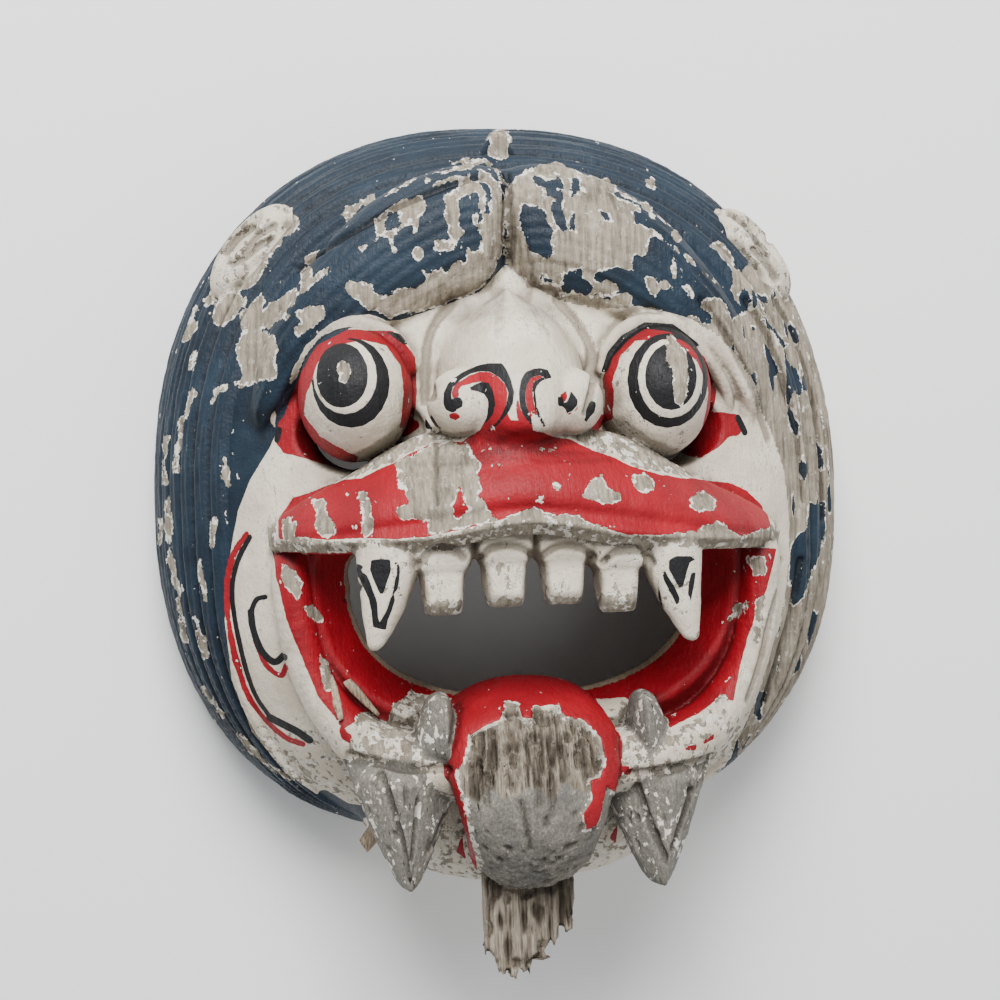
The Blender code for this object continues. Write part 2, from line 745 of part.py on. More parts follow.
def build_loose_wood(finish):
    """The two slivers and the peg, and the slot that each one sits in, a gap larger all round."""
    half = (SLIVER_WIDTH / 2, SLIVER_THICKNESS / 2)
    top = Vector((MOUTH_SHIFT - 0.54 * HALF_WIDTH, -0.4375 * HALF_HEIGHT, 0.883 * FACE_DEPTH))
    low = top + Vector((0.152, -0.81, 0.571)) * SLIVER_LENGTH
    beside = top + Vector((SLIVER_WIDTH * 1.4, -0.5 * SLIVER_WIDTH, 0))
    aside = beside + Vector((0.62, -0.78, 0.03)) * SLIVER_LENGTH * 0.9
    peg_end = Vector((-0.433 * HALF_WIDTH, -0.93 * HALF_HEIGHT, 0.61 * FACE_DEPTH))
    loose = [
        build_stick("sliver_upright", top, low, *half, 0.9),
        build_stick("sliver_slant", beside, aside, *half, 0.7),
        build_peg("jaw_peg", peg_end),
    ]
    for stick in loose:
        stick.data.materials.append(finish)
    return [
        build_stick("sliver_upright_slot", top, low, *half, 0.9, SLOT_GAP),
        build_stick("sliver_slant_slot", beside, aside, *half, 0.7, SLOT_GAP),
        build_peg("jaw_peg_hole", peg_end, SLOT_GAP),
    ]


def main():
    for old in list(bpy.data.objects):
        bpy.data.objects.remove(old, do_unlink=True)
    painted = material("painted_wood", (0.62, 0.59, 0.54), 0.75)
    bare = material("bare_wood", (0.42, 0.35, 0.24), 0.85)

    mask = build_head()
    mask.data.materials.append(painted)
    added = [build_jaw(), build_nose()]
    for label, side in SIDES:
        added.append(build_lip_ring("lip_ring_" + label, side))
        added.append(build_lock("lock_" + label, side))
    join(mask, "head_forms", added)
    sockets = [
        build_socket("socket_left", -0.43, 0.19),
        build_socket("socket_right", 0.42, 0.18),
    ]
    cut(mask, "face_openings", [build_mouth(), *sockets])

    wings, dimples = build_nostrils()
    ears = [build_ear("ear_left", -0.68, 0.70), build_ear("ear_right", 0.755, 0.67)]
    features = build_eyes() + wings + build_mouth_parts() + [build_knot()]
    features += [ear for ear, scoop in ears]
    join(mask, "features", features)
    scoops = [scoop for ear, scoop in ears]
    cut(mask, "carved_out", [build_hollow(), *dimples, *scoops, *build_loose_wood(bare)])

    points = np.array([corner[:] for shape in [mask, *added, *features] for corner in shape.bound_box])
    low, high = points.min(axis=0), points.max(axis=0)
    stand = Matrix.Translation((-(low[0] + high[0]) / 2, -(low[1] + high[1]) / 2, 0))
    for made in bpy.data.objects:
        made.data.transform(stand)


main()
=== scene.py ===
"""A carved and painted barong mask of old wood, lying on its back with the face looking up.

Every size is in millimetres until a mesh is made. +Y runs from the chin to the crown.
"""

import math

import bpy
import numpy as np
from mathutils import Matrix, Vector


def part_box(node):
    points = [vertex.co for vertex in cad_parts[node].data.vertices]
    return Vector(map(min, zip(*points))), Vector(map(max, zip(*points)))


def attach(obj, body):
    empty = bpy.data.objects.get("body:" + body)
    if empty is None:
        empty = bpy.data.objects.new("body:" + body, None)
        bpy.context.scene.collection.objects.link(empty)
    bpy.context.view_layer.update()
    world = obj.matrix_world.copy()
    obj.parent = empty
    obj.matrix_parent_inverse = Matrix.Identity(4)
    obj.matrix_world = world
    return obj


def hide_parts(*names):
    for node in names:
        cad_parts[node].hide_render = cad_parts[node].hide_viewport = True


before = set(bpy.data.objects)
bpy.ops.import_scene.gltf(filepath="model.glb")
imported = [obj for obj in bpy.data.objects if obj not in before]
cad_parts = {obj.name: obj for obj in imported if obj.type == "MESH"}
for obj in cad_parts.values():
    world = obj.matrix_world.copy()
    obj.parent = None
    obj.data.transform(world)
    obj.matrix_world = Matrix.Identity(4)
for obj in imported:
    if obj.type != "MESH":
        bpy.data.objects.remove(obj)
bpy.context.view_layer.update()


# The block: one piece of light wood, rounded in front and flat behind, in which everything else is
# carved. It is worked out as a grid of distances to the wood's surface, below 0 inside the wood.

CELL = 0.56
GRID_LOW = (-82.4, -102.6, -2.16)
GRID_HIGH = (82.6, 88.6, 90.0)
HALF_WIDTH, HALF_HEIGHT = 78.5, 80.0
CROWN_SHARE, CHIN_SHARE = 1.075, 0.985
RIGHT_SHARE, LEFT_SHARE = 1.027, 0.978
FACE_DEPTH = 64.0
OUTLINE_ROUNDNESS, SECTION_ROUNDNESS = 2.3, 2.6
STRANDS, STRAND_HEIGHT, HAIRLINE = 8, 1.7, 0.78
SHIFT = np.array([-1.92185, 6.96571, 0.0])

grid = [np.arange(low, high, CELL, dtype=np.float32) for low, high in zip(GRID_LOW, GRID_HIGH)]
block = np.full([len(line) for line in grid], 9.0, np.float32)


def smooth(start, end, value):
    """0 before start, 1 after end, and an S-curve between them."""
    t = np.clip((value - start) / (end - start), 0, 1)
    return t * t * (3 - 2 * t)


def power(values, exponent):
    """A power that keeps the sign."""
    return np.sign(values) * np.abs(values) ** exponent


def head_share(x, y):
    """How far out a place is: the root of the summed powers of its shares across and up."""
    wide = HALF_WIDTH * np.where(x > 0, RIGHT_SHARE, LEFT_SHARE)
    tall = HALF_HEIGHT * np.where(y > 0, CROWN_SHARE, CHIN_SHARE)
    n = OUTLINE_ROUNDNESS
    return (np.abs(x / wide) ** n + np.abs(y / tall) ** n) ** (1 / n)


def head_height(x, y):
    """Height of the plain rounded head over a place."""
    m = SECTION_ROUNDNESS
    return FACE_DEPTH * (1 - np.clip(head_share(x, y), 0, 1) ** m) ** (1 / m)


def place(across, up, rise=0.0):
    """A point on the head: across and up as shares of its half width and half height."""
    x, y = across * HALF_WIDTH, up * HALF_HEIGHT
    return np.array([x, y, float(head_height(np.float64(x), np.float64(y))) + rise])


def along(rows, count):
    """Rows of values read at count even steps, on a smooth curve through the given rows."""
    rows = np.asarray(rows, float)
    ends = np.concatenate([2 * rows[:1] - rows[1:2], rows, 2 * rows[-1:] - rows[-2:-1]])
    steps = np.linspace(0, len(rows) - 1, count)
    first = np.minimum(steps.astype(int), len(rows) - 2)
    t = (steps - first)[:, None]
    a, b, c, d = (ends[first + k] for k in range(4))
    bend, turn = 2 * a - 5 * b + 4 * c - d, 3 * b - a - 3 * c + d
    return 0.5 * (2 * b + (c - a) * t + bend * t**2 + turn * t**3)


def window(low, high):
    """The part of the grid between two corners: its slices, and x, y and z of its points."""
    parts = []
    for line, a, b in zip(grid, low, high):
        parts.append(slice(int(np.searchsorted(line, a)), int(np.searchsorted(line, b))))
    x, y, z = (line[part] for line, part in zip(grid, parts))
    return tuple(parts), x[:, None, None], y[None, :, None], z[None, None, :]


def near(value):
    """A distance in mm from any value that is 0 on the surface: it is divided by its own slope."""
    slopes = np.gradient(value.astype(np.float32), CELL)
    length = np.sqrt(slopes[0] ** 2 + slopes[1] ** 2 + slopes[2] ** 2)
    return value / np.maximum(length, 1e-3)


def both(a, b, soft):
    """The lower of two distances, with a fillet as wide as soft where they meet."""
    h = np.clip(0.5 + 0.5 * (b - a) / soft, 0, 1)
    return b + (a - b) * h - soft * h * (1 - h)


def within(a, b, soft):
    """The higher of two distances, with an edge rounded by soft where they meet."""
    return -both(-a, -b, soft)


forms = {}


def add(shape, low, high, soft=1.0, name=None):
    """Joins a form to the block. shape gives its distances for the points between two corners,
    which are kept under a name where the paint needs them."""
    part, x, y, z = window(low, high)
    values = shape(x, y, z)
    block[part] = both(block[part], values, soft)
    if name:
        start = np.array([line.start for line in part])
        forms.setdefault(name, []).append((start, values))


def carve(shape, low, high, soft=1.0):
    """Cuts a form out of the block."""
    part, x, y, z = window(low, high)
    block[part] = within(block[part], -shape(x, y, z), soft)


def egg(x, y, z, radii):
    """Distance to a stretched ball: the scaled length less 1, put back into mm by its slope."""
    a = np.sqrt((x / radii[0]) ** 2 + (y / radii[1]) ** 2 + (z / radii[2]) ** 2)
    b = np.sqrt((x / radii[0] ** 2) ** 2 + (y / radii[1] ** 2) ** 2 + (z / radii[2] ** 2) ** 2)
    return a * (a - 1) / np.maximum(b, 1e-4)


def rod(spine, radii, tall):
    """Distance to a rod along a spine: the nearest of its points, in a space squeezed in height."""

    def shape(x, y, z):
        """The least of the distances to the spine's points, less the radius there."""
        best = np.full(np.broadcast_shapes(x.shape, y.shape, z.shape), 99.0, np.float32)
        for (px, py, pz), radius in zip(spine, radii):
            gap = np.sqrt((x - px) ** 2 + (y - py) ** 2 + ((z - pz) / tall) ** 2) - radius
            np.minimum(best, gap, out=best)
        return best

    return shape


def beside(spine, x, y):
    """For each place in plan: how far along a path its nearest point is, counted in the path's
    points, the distance to it, above 0 on the left of the path, and how far past an end it is."""
    run = np.gradient(spine[:, :2], axis=0)
    run /= np.linalg.norm(run, axis=1)[:, None]
    gap_x = x.reshape(-1, 1, 1) - spine[:, 0]
    gap_y = y.reshape(1, -1, 1) - spine[:, 1]
    nearest = np.argmin(gap_x**2 + gap_y**2, axis=2)
    rows, columns = np.indices(nearest.shape)
    dx, dy = gap_x[rows, 0, nearest], gap_y[0, columns, nearest]
    side = run[nearest, 0] * dy - run[nearest, 1] * dx
    on = run[nearest, 0] * dx + run[nearest, 1] * dy
    stride = np.linalg.norm(np.gradient(spine[:, :2], axis=0), axis=1)[nearest]
    before = -gap_x[:, :, 0] * run[0, 0] - gap_y[:, :, 0] * run[0, 1]
    after = gap_x[:, :, -1] * run[-1, 0] + gap_y[:, :, -1] * run[-1, 1]
    return nearest + np.clip(on / stride, -0.5, 0.5), side, np.maximum(before, after)


def head_around(x, y):
    """Direction of a place on the head as an angle, squared up as the outline is."""
    wide = HALF_WIDTH * np.where(x > 0, RIGHT_SHARE, LEFT_SHARE)
    tall = HALF_HEIGHT * np.where(y > 0, CROWN_SHARE, CHIN_SHARE)
    return np.arctan2(power(y / tall, OUTLINE_ROUNDNESS / 2), power(x / wide, OUTLINE_ROUNDNESS / 2))


def strand_number(x, y, z):
    """Which strand of hair a point is on: 0 at the rim and STRANDS at the hairline."""
    m = SECTION_ROUNDNESS
    angle = np.arctan2(np.abs(z / FACE_DEPTH) ** (m / 2), head_share(x, y) ** (m / 2))
    below = np.clip(-np.sin(head_around(x, y)), 0, 1)
    edge = np.arccos((HAIRLINE + (0.985 - HAIRLINE) * below**1.5) ** (m / 2))
    return angle / edge * STRANDS


def head(x, y, z):
    """The rounded head: the powers of the share out and of the height add up to 1. Each strand of
    hair round it is a ridge, the root of a sine across it, with finer comb lines on top."""
    m = SECTION_ROUNDNESS
    plain = near((head_share(x, y) ** m + np.abs(z / FACE_DEPTH) ** m) ** (1 / m) - 1)
    number = strand_number(x, y, z)
    fade = 1 - smooth(0.80, 0.97, -np.sin(head_around(x, y)))
    ridge = np.abs(np.sin(np.pi * number)) ** 0.7 - 0.5
    comb = 0.65 * np.abs(np.sin(2 * np.pi * number + 0.5 * np.sin(x / 9) + 0.4 * np.sin(y / 7))) ** 0.7
    inside = smooth(STRANDS + 0.1, STRANDS - 0.3, number) * smooth(0, 0.4, number)
    return plain - (STRAND_HEIGHT * ridge + comb) * fade * inside


def jaw(x, y, z):
    """The white chin: a ball squared up in plan, its share out and its height adding up to 1."""
    share = (np.abs((x - 2.6) / 40) ** 2.35 + np.abs((y + 54) / 31) ** 2.35) ** 0.425
    return near((share**2.86 + np.abs((z - 31) / 20) ** 2) ** 0.42 - 1)


add(head, GRID_LOW, GRID_HIGH)
add(jaw, (-42, -88, 5), (47, -18, 56), 1.5)


# The locks: two thick tresses that meet in a crease over the nose and run down round the eyes.
# Each is cut in steps along its length, with fine lines that follow its upper edge.

LOCK_PATH = [
    # across, up, rise as a share of the depth, half breadth and thickness as shares
    (-0.012, 0.695, -0.016, 0.87, 0.55),
    (0.035, 0.705, -0.008, 0.96, 0.93),
    (0.11, 0.705, 0.0, 1.0, 1.0),
    (0.21, 0.675, 0.0, 0.97, 1.0),
    (0.33, 0.610, 0.0, 0.89, 0.92),
    (0.46, 0.510, 0.0, 0.69, 0.80),
    (0.58, 0.390, 0.0, 0.465, 0.62),
    (0.65, 0.270, -0.008, 0.255, 0.42),
    (0.675, 0.20, -0.031, 0.115, 0.25),
]
LOCK_THICKNESS, LOCK_HALF_BREADTH = 10.5, 14.2


def lock(side):
    """One lock: a squared oval carried along its path, with a few flat steps and fine lines."""
    path = along(LOCK_PATH, 160)
    spine = np.array([place(side * a, u, r * FACE_DEPTH) for a, u, r in path[:, :3]])

    def shape(x, y, z):
        """The powers of the shares across the path and up from it add up to 1."""
        nearest, off, past = beside(spine, x, y)
        count = np.arange(len(path))
        half = np.interp(nearest, count, path[:, 3] * LOCK_HALF_BREADTH)
        thick = np.interp(nearest, count, path[:, 4] * LOCK_THICKNESS)
        low = np.interp(nearest, count, spine[:, 2])
        upper = off * side / half
        steps = -0.7 * smooth(0.52, 0.60, upper) - 0.7 * smooth(0.76, 0.84, upper)
        steps = steps - 0.5 * smooth(-0.45, -0.55, upper)
        lines = 0.28 * np.abs(np.sin(off * 1.3 + 0.8 * np.sin(nearest / 21.0)))
        top = thick + steps + lines * smooth(1.0, 0.8, np.abs(upper))
        height = (z - low[:, :, None]) / top[:, :, None]
        value = np.abs(upper[:, :, None]) ** 2.22 + np.abs(height) ** 2.67
        form = near(value**0.42 - 1)
        return within(form, past[:, :, None] + 0 * form, 1.6)

    return shape


for side in (-1, 1):
    add(lock(side), (min(side * 62, -4), 8, 30), (max(side * 62, 4), 78, 80), 0.8)


# Nose: a broad snout between the eyes, left standing in the block when the cheeks were cut back. Its
# two curled wings are carved after the eyes, which they touch.

NOSE_HALF_WIDTH, NOSE_RISE, NOSE_ROOT, NOSTRIL_WING = 16.0, 23.0, 10.0, 7.0
NOSTRILS = ((-0.155, 0.245), (0.112, 0.24))
NOSE_ROWS = [
    # up, half width as a share, rise as a share
    (0.56, 0.10, 0.12),
    (0.525, 0.22, 0.25),
    (0.475, 0.62, 0.52),
    (0.40, 0.90, 0.76),
    (0.32, 1.00, 0.93),
    (0.24, 0.98, 1.0),
    (0.17, 0.80, 0.96),
    (0.13, 0.48, 0.7),
    (0.115, 0.20, 0.4),
]
nose_rows = along(NOSE_ROWS, 60)[::-1]


def nose(x, y, z):
    """The snout: rounded sections whose width and height change from the brows down to the lip."""
    up = y / HALF_HEIGHT
    wide = np.interp(up, nose_rows[:, 0], nose_rows[:, 1]) * NOSE_HALF_WIDTH
    rise = np.interp(up, nose_rows[:, 0], nose_rows[:, 2]) * NOSE_RISE + NOSE_ROOT
    middle = -0.012 * HALF_WIDTH
    low = head_height(np.full_like(y, middle), y) - NOSE_ROOT
    form = near((np.abs((x - middle) / wide) ** 2 + np.abs((z - low) / rise) ** 2.22) ** 0.47 - 1)
    ends = np.maximum(y - 0.55 * HALF_HEIGHT, 0.118 * HALF_HEIGHT - y)
    return within(form, np.broadcast_to(ends, form.shape), 2.5)


add(nose, (-20, 4, 40), (18, 50, 90), 1.5)


# Lower lip and mouth: a raised ring left standing in the same wood, thick where it turns under the
# tongue, and the mouth cut through it into the hollow.

LIP_RISE, LIP_RING, MOUTH_SHIFT = 22.0, 4.2, 2.6
LIP_RING_ROWS = [
    (0.625, -0.085, -0.03),
    (0.635, -0.20, 0.016),
    (0.60, -0.42, 0.04),
    (0.50, -0.585, 0.078),
    (0.36, -0.67, 0.125),
    (0.16, -0.70, 0.125),
]
for side in (-1, 1):
    rows = np.array([place(side * a, u, r * FACE_DEPTH) for a, u, r in LIP_RING_ROWS])
    spine = along(rows, 48) + np.array([MOUTH_SHIFT, 0, 0])
    t = np.linspace(0, 1, 48)
    radii = LIP_RING * (0.75 + 0.25 * smooth(0, 0.2, t) + 0.6 * smooth(0.4, 0.9, t))
    add(rod(spine, radii, 1.4), (min(side * 60, -2), -66, 28), (max(side * 62, 6), 0, 80), 0.8)

MOUTH_ROWS = [
    # height, half width, upper edge and lower edge as shares
    (0.40, 0.430, -0.10, -0.48),
    (0.70, 0.450, -0.09, -0.505),
    (0.90, 0.575, -0.04, -0.61),
    (1.50, 0.610, -0.02, -0.635),
]


def mouth(x, y, z):
    """The open mouth: a D on its back, wider towards the front."""
    rows = np.array(MOUTH_ROWS)
    up = z / FACE_DEPTH
    wide = np.interp(up, rows[:, 0], rows[:, 1]) * HALF_WIDTH
    top = np.interp(up, rows[:, 0], rows[:, 2]) * HALF_HEIGHT
    bottom = np.interp(up, rows[:, 0], rows[:, 3]) * HALF_HEIGHT
    middle = top - (top - bottom) * 0.34
    over = np.abs((y - middle) / (top - middle)) ** 4
    under = np.abs((y - middle) / (middle - bottom)) ** 2.35
    value = np.abs((x - MOUTH_SHIFT) / wide) ** 2.56 + np.where(y > middle, over, under)
    form = near(value**0.4 - 1)
    return np.maximum(form, np.broadcast_to(0.40 * FACE_DEPTH - z, form.shape))


carve(mouth, (-49, -56, 24), (55, 4, 90), 1.2)


# Eyes: bulging oval eyeballs in pointed sockets, which open in a slit into the hollow, each under
# the roll of an upper eyelid.

EYES = ((-1, -0.42, 0.285, -0.43, 0.19), (1, 0.375, 0.27, 0.42, 0.18))
EYE_HALF_WIDTH, EYE_HALF_HEIGHT, EYE_BULGE = 11.8, 14.0, 16.0
SOCKET_REACH, EYELID = 17.0, 1.9
SOCKET_ROWS = [(-1.5, 0.35, 0.72), (-0.56, 0.48, 0.84), (0.0, 0.86, 0.94), (1.375, 1.1, 1.05)]


def socket(middle):
    """The pocket under an eye: pointed at both corners and narrower inwards."""
    rows = np.array(SOCKET_ROWS)

    def shape(x, y, z):
        """The powers of the shares across and up add up to 1 at every depth."""
        depth = (z - middle[2]) / EYE_BULGE
        wide = np.interp(depth, rows[:, 0], rows[:, 1]) * SOCKET_REACH
        tall = np.interp(depth, rows[:, 0], rows[:, 2]) * EYE_HALF_HEIGHT * 0.66
        value = np.abs((x - middle[0]) / wide) ** 1.6 + np.abs((y - middle[1]) / tall) ** 2
        form = near(value**0.55 - 1)
        ends = middle[2] - 1.5 * EYE_BULGE - z
        return np.maximum(form, np.broadcast_to(ends, form.shape))

    return shape


def egg_at(middle, radii):
    """A stretched ball round a place."""
    return lambda x, y, z: egg(x - middle[0], y - middle[1], z - middle[2], radii)


for side, across, up, socket_across, socket_up in EYES:
    middle = place(socket_across, socket_up)
    carve(socket(middle), middle - (22, 14, 27), middle + (22, 14, 26), 1.0)
for side, across, up, socket_across, socket_up in EYES:
    middle = place(across, up)
    ball = egg_at(middle, (EYE_HALF_WIDTH, EYE_HALF_HEIGHT, EYE_BULGE))
    add(ball, middle - (14, 16, 18), middle + (14, 16, 18), 0.5, "eyeball")
    angles = np.radians(np.linspace(20, 205, 60))
    wide = EYE_HALF_WIDTH + EYELID * (0.2 + 3.0 * smooth(2.4, 3.5, angles))
    x = middle[0] - side * wide * np.cos(angles)
    y = middle[1] + (EYE_HALF_HEIGHT + EYELID * 0.2) * np.sin(angles)
    arch = np.sin(np.clip(angles * 0.9, 0, np.pi)) ** 0.7
    spine = np.stack([x, y, head_height(x, y) + EYE_BULGE * (0.30 * arch - 0.08)], axis=1)
    lid = rod(spine, EYELID * (0.35 + 0.85 * arch), 1.5)
    add(lid, middle - (22, 12, 14), middle + (22, 20, 20), 0.6, "lid")

for across, up in NOSTRILS:
    middle = place(across, up, NOSE_RISE * 0.5)
    wing = egg_at(middle, (NOSTRIL_WING * 1.05, NOSTRIL_WING, NOSTRIL_WING * 1.1))
    add(wing, middle - 10, middle + 10, 0.6)


# Upper lip: a broad awning that slopes out from under the nose, carved from the same wood, with a
# groove and a bead along its lower edge over the teeth.

UPPER_LIP_ROWS = [
    # across, upper edge, lower edge, rise at the upper edge and at the lower edge
    (-0.66, -0.06, -0.10, 0.10, 0.16),
    (-0.60, -0.005, -0.10, 0.18, 0.42),
    (-0.45, 0.075, -0.105, 0.25, 0.75),
    (-0.245, 0.175, -0.10, 0.35, 0.90),
    (-0.02, 0.155, -0.068, 0.62, 1.0),
    (0.225, 0.165, -0.105, 0.35, 0.92),
    (0.46, 0.05, -0.125, 0.25, 0.78),
    (0.64, -0.03, -0.13, 0.18, 0.45),
    (0.735, -0.09, -0.13, 0.08, 0.16),
]
lip_rows = along(UPPER_LIP_ROWS, 80)


def upper_lip(x, y, z):
    """The lip: over each x, its front runs from the upper to the lower edge in a shallow bow with
    a bead and a groove near the end, and its under side slants back."""
    across = x / HALF_WIDTH
    edges = (np.interp(across, lip_rows[:, 0], lip_rows[:, k]) for k in range(1, 5))
    high, low, rise_high, rise_low = edges
    high, low = high * HALF_HEIGHT, low * HALF_HEIGHT
    top = head_height(x, high) + LIP_RISE * rise_high
    edge = head_height(x, low) + LIP_RISE * rise_low
    t = np.clip((high - y) / (high - low), 0, 1)
    bead = np.exp(-(((t - 0.95) / 0.06) ** 2)) - 0.7 * np.exp(-(((t - 0.8) / 0.06) ** 2))
    front = top + (edge - top) * smooth(-0.3, 1.05, t)
    front = front + LIP_RISE * 0.12 * (0.3 + rise_low) * np.sin(np.pi * t) + 1.2 * rise_low * bead
    under = low + np.interp(z - edge, [-22, -5.4, -2.6, 0], [1.44, 0.64, -1.6, 0])
    size = np.broadcast_shapes(x.shape, y.shape, z.shape)
    value = within(near(np.broadcast_to(z - front, size)), under - y, 1.6)
    value = within(value, y - high + 0 * z, 1.0)
    ends = np.maximum(-0.655 * HALF_WIDTH - x, x - 0.73 * HALF_WIDTH)
    return np.maximum(within(value, ends + 0 * value, 1.0), edge - LIP_RISE - z)


add(upper_lip, (-56, -14, 34), (61, 18, 90), 0.7, "upper_lip")
# A soft ridge under the nose carries the snout over into the lip.
bridge = np.array([(-3.1, 17.5 - 1.5 * k, 76.3 - 0.25 * k) for k in range(8)])
add(rod(bridge, np.linspace(5.5, 7.5, 8), 1.0), (-14, -6, 62), (8, 27, 84), 3.0)


# Teeth: four incisors with bevelled ends between two curved fangs, cut from the block under the
# lip. They are painted off-white, and chipped at their ends.

TEETH = ((-0.225, -0.10), (-0.068, -0.085), (0.083, -0.085), (0.223, -0.11))
GUM = -8.0
FANGS = ((-0.357, -0.10, -1), (0.363, -0.11, 1))
TOOTH_WIDTH, TOOTH_DROP, TOOTH_THICKNESS = 12.4, 14.5, 7.5
TOOTH_ROWS = [
    # how far down the tooth, then its width and thickness there as shares
    (-0.3, 1.08, 1),
    (0.20, 1.10, 1.06),
    (0.32, 1.00, 0.98),
    (0.42, 0.80, 0.84),
    (0.80, 0.70, 0.80),
    (0.84, 0.69, 0.76),
    (1, 0.62, 0.36),
]
TOOTH_ROWS = np.array(TOOTH_ROWS)
FANG_WIDTH, FANG_DROP = 13.4, 21.0


def tooth(root):
    """An incisor: wide at the gum and narrower below, its front narrower than its back."""

    def shape(x, y, z):
        """A box whose width and thickness are read off TOOTH_ROWS on the way down."""
        down = (root[1] - y) / TOOTH_DROP
        wide = np.interp(down, TOOTH_ROWS[:, 0], TOOTH_ROWS[:, 1]) * TOOTH_WIDTH / 2
        thick = np.interp(down, TOOTH_ROWS[:, 0], TOOTH_ROWS[:, 2])
        deep = z - root[2] + TOOTH_THICKNESS / 5 * (1 - thick)
        half = thick * TOOTH_THICKNESS / 2
        side = (np.abs(x - root[0]) - wide * (1 - 0.11 * (1 + np.clip(deep / half, -1, 1)))) * 0.95
        value = within(side, (np.abs(deep) - half) * 0.95 + 0 * side, 1.2)
        ends = np.maximum(down - 1, -0.3 - down) * TOOTH_DROP
        return within(value, ends + 0 * value, 0.8)

    return shape


def fang(root, side):
    """An upper fang: a round horn that thins out and leans outwards."""

    def shape(x, y, z):
        """The distance to a leaning axis, less a radius that falls as a power on the way down."""
        down = (root[1] - y) / FANG_DROP
        t = np.clip(down, 0, 1)
        half = FANG_WIDTH / 2 * (1 - t**1.6 * 0.82)
        lean = side * FANG_WIDTH * 0.28 * t**1.7
        deep = (z - root[2] - FANG_DROP * 0.12 * down) / 0.85
        value = (np.sqrt((x - root[0] - lean) ** 2 + deep**2) - half) * 0.92
        return within(value, np.maximum(down - 1, -0.15 - down) * FANG_DROP + 0 * value, 1.5)

    return shape


for across, up in TEETH:
    root = place(across, up, LIP_RISE * 0.62)
    add(tooth(root), root - (8, 17, 6), root + (8, 6, 6), 0.6, "tooth")
for across, up, side in FANGS:
    root = place(across, up, LIP_RISE * 0.60)
    add(fang(root, side), root - (10, 24, 8), root + (10, 5, 10), 0.6, "fang")


# Tongue: thick, folded out over the lower lip and hanging down in front of the chin. Its red back
# is torn to bare fibre, and a flat board, broken off short, sticks out below it.

TONGUE_ROWS = [
    # up, height as a share of the depth, half width as a share
    (-0.47, 0.62, 0.90),
    (-0.475, 0.86, 0.98),
    (-0.53, 1.10, 1.04),
    (-0.66, 1.21, 1.02),
    (-0.80, 1.22, 0.93),
    (-0.93, 1.13, 0.83),
    (-1.02, 0.93, 0.74),
    (-1.00, 0.68, 0.62),
]
TONGUE_HALF_WIDTH, TONGUE_RISE = 17.4, 19.0


def tongue(x, y, z):
    """The tongue: for each point the nearest place on its spine seen from the side gives how far
    out it is, and its rounded back sinks away from the middle as a cosine."""
    rows = along(TONGUE_ROWS, 160)
    spine = rows[:, :2] * (HALF_HEIGHT, FACE_DEPTH)
    nearest, left, past = beside(spine, y, z)
    reach = TONGUE_HALF_WIDTH * np.interp(nearest, np.arange(len(rows)), rows[:, 2])
    off = (x - 0.006 * HALF_WIDTH) / reach[None]
    cosine = np.sqrt(np.clip(1 - off**2, 0, 1))
    out = -left[None]
    sink = TONGUE_RISE * 0.5 * (1 - cosine) ** 1.1
    depth = np.clip((-out - TONGUE_RISE * 0.5) / (TONGUE_RISE * 0.22), 0, 1)
    sides = (np.abs(off) - 1 + 0.5 * depth) * reach[None] * 0.8
    value = within(out + sink, sides, 1.2)
    value = np.maximum(value, -out - TONGUE_RISE * 0.72)
    return within(value, past[None] + 0 * value, 1.2)


add(tongue, (-21, -88, 36), (22, -32, 82), 0.8, "tongue")

STUB_HALF_WIDTH, STUB_HALF_THICKNESS, STUB_BREAK = 9.6, 3.25, -75
STUB_ACROSS = np.array([-1, -0.6, -0.2, 0.25, 0.6, 1.0]) * 9.75
STUB_LOW = -80 - np.array([0.72, 1.0, 0.97, 0.80, 0.62, 0.50]) * 20


def stub(x, y, z):
    """The flat stub under the tongue: a board with a torn slanting end."""
    torn = np.interp(x, STUB_ACROSS * 0.93, STUB_LOW)
    torn = torn + 0.9 * np.sin(x * 2.1) + 0.6 * np.sin(x * 4.7 + z)
    faces = np.abs(z - 0.86 * FACE_DEPTH) - STUB_HALF_THICKNESS
    sides = np.abs(x) - STUB_HALF_WIDTH
    value = within(faces + 0 * y + 0 * x, sides + 0 * z + 0 * y, 0.8)
    return within(value, np.maximum(torn - y, y + 76), 0.5)


add(stub, (-12, -102.5, 48), (12, -70, 62), 0.5, "stub")


# Lower fangs and tufts: two worn stumps of wood beside the tongue, and two pointed tufts of beard
# under the lip, each a wedge with a ridge. All four have lost their paint and gone grey.

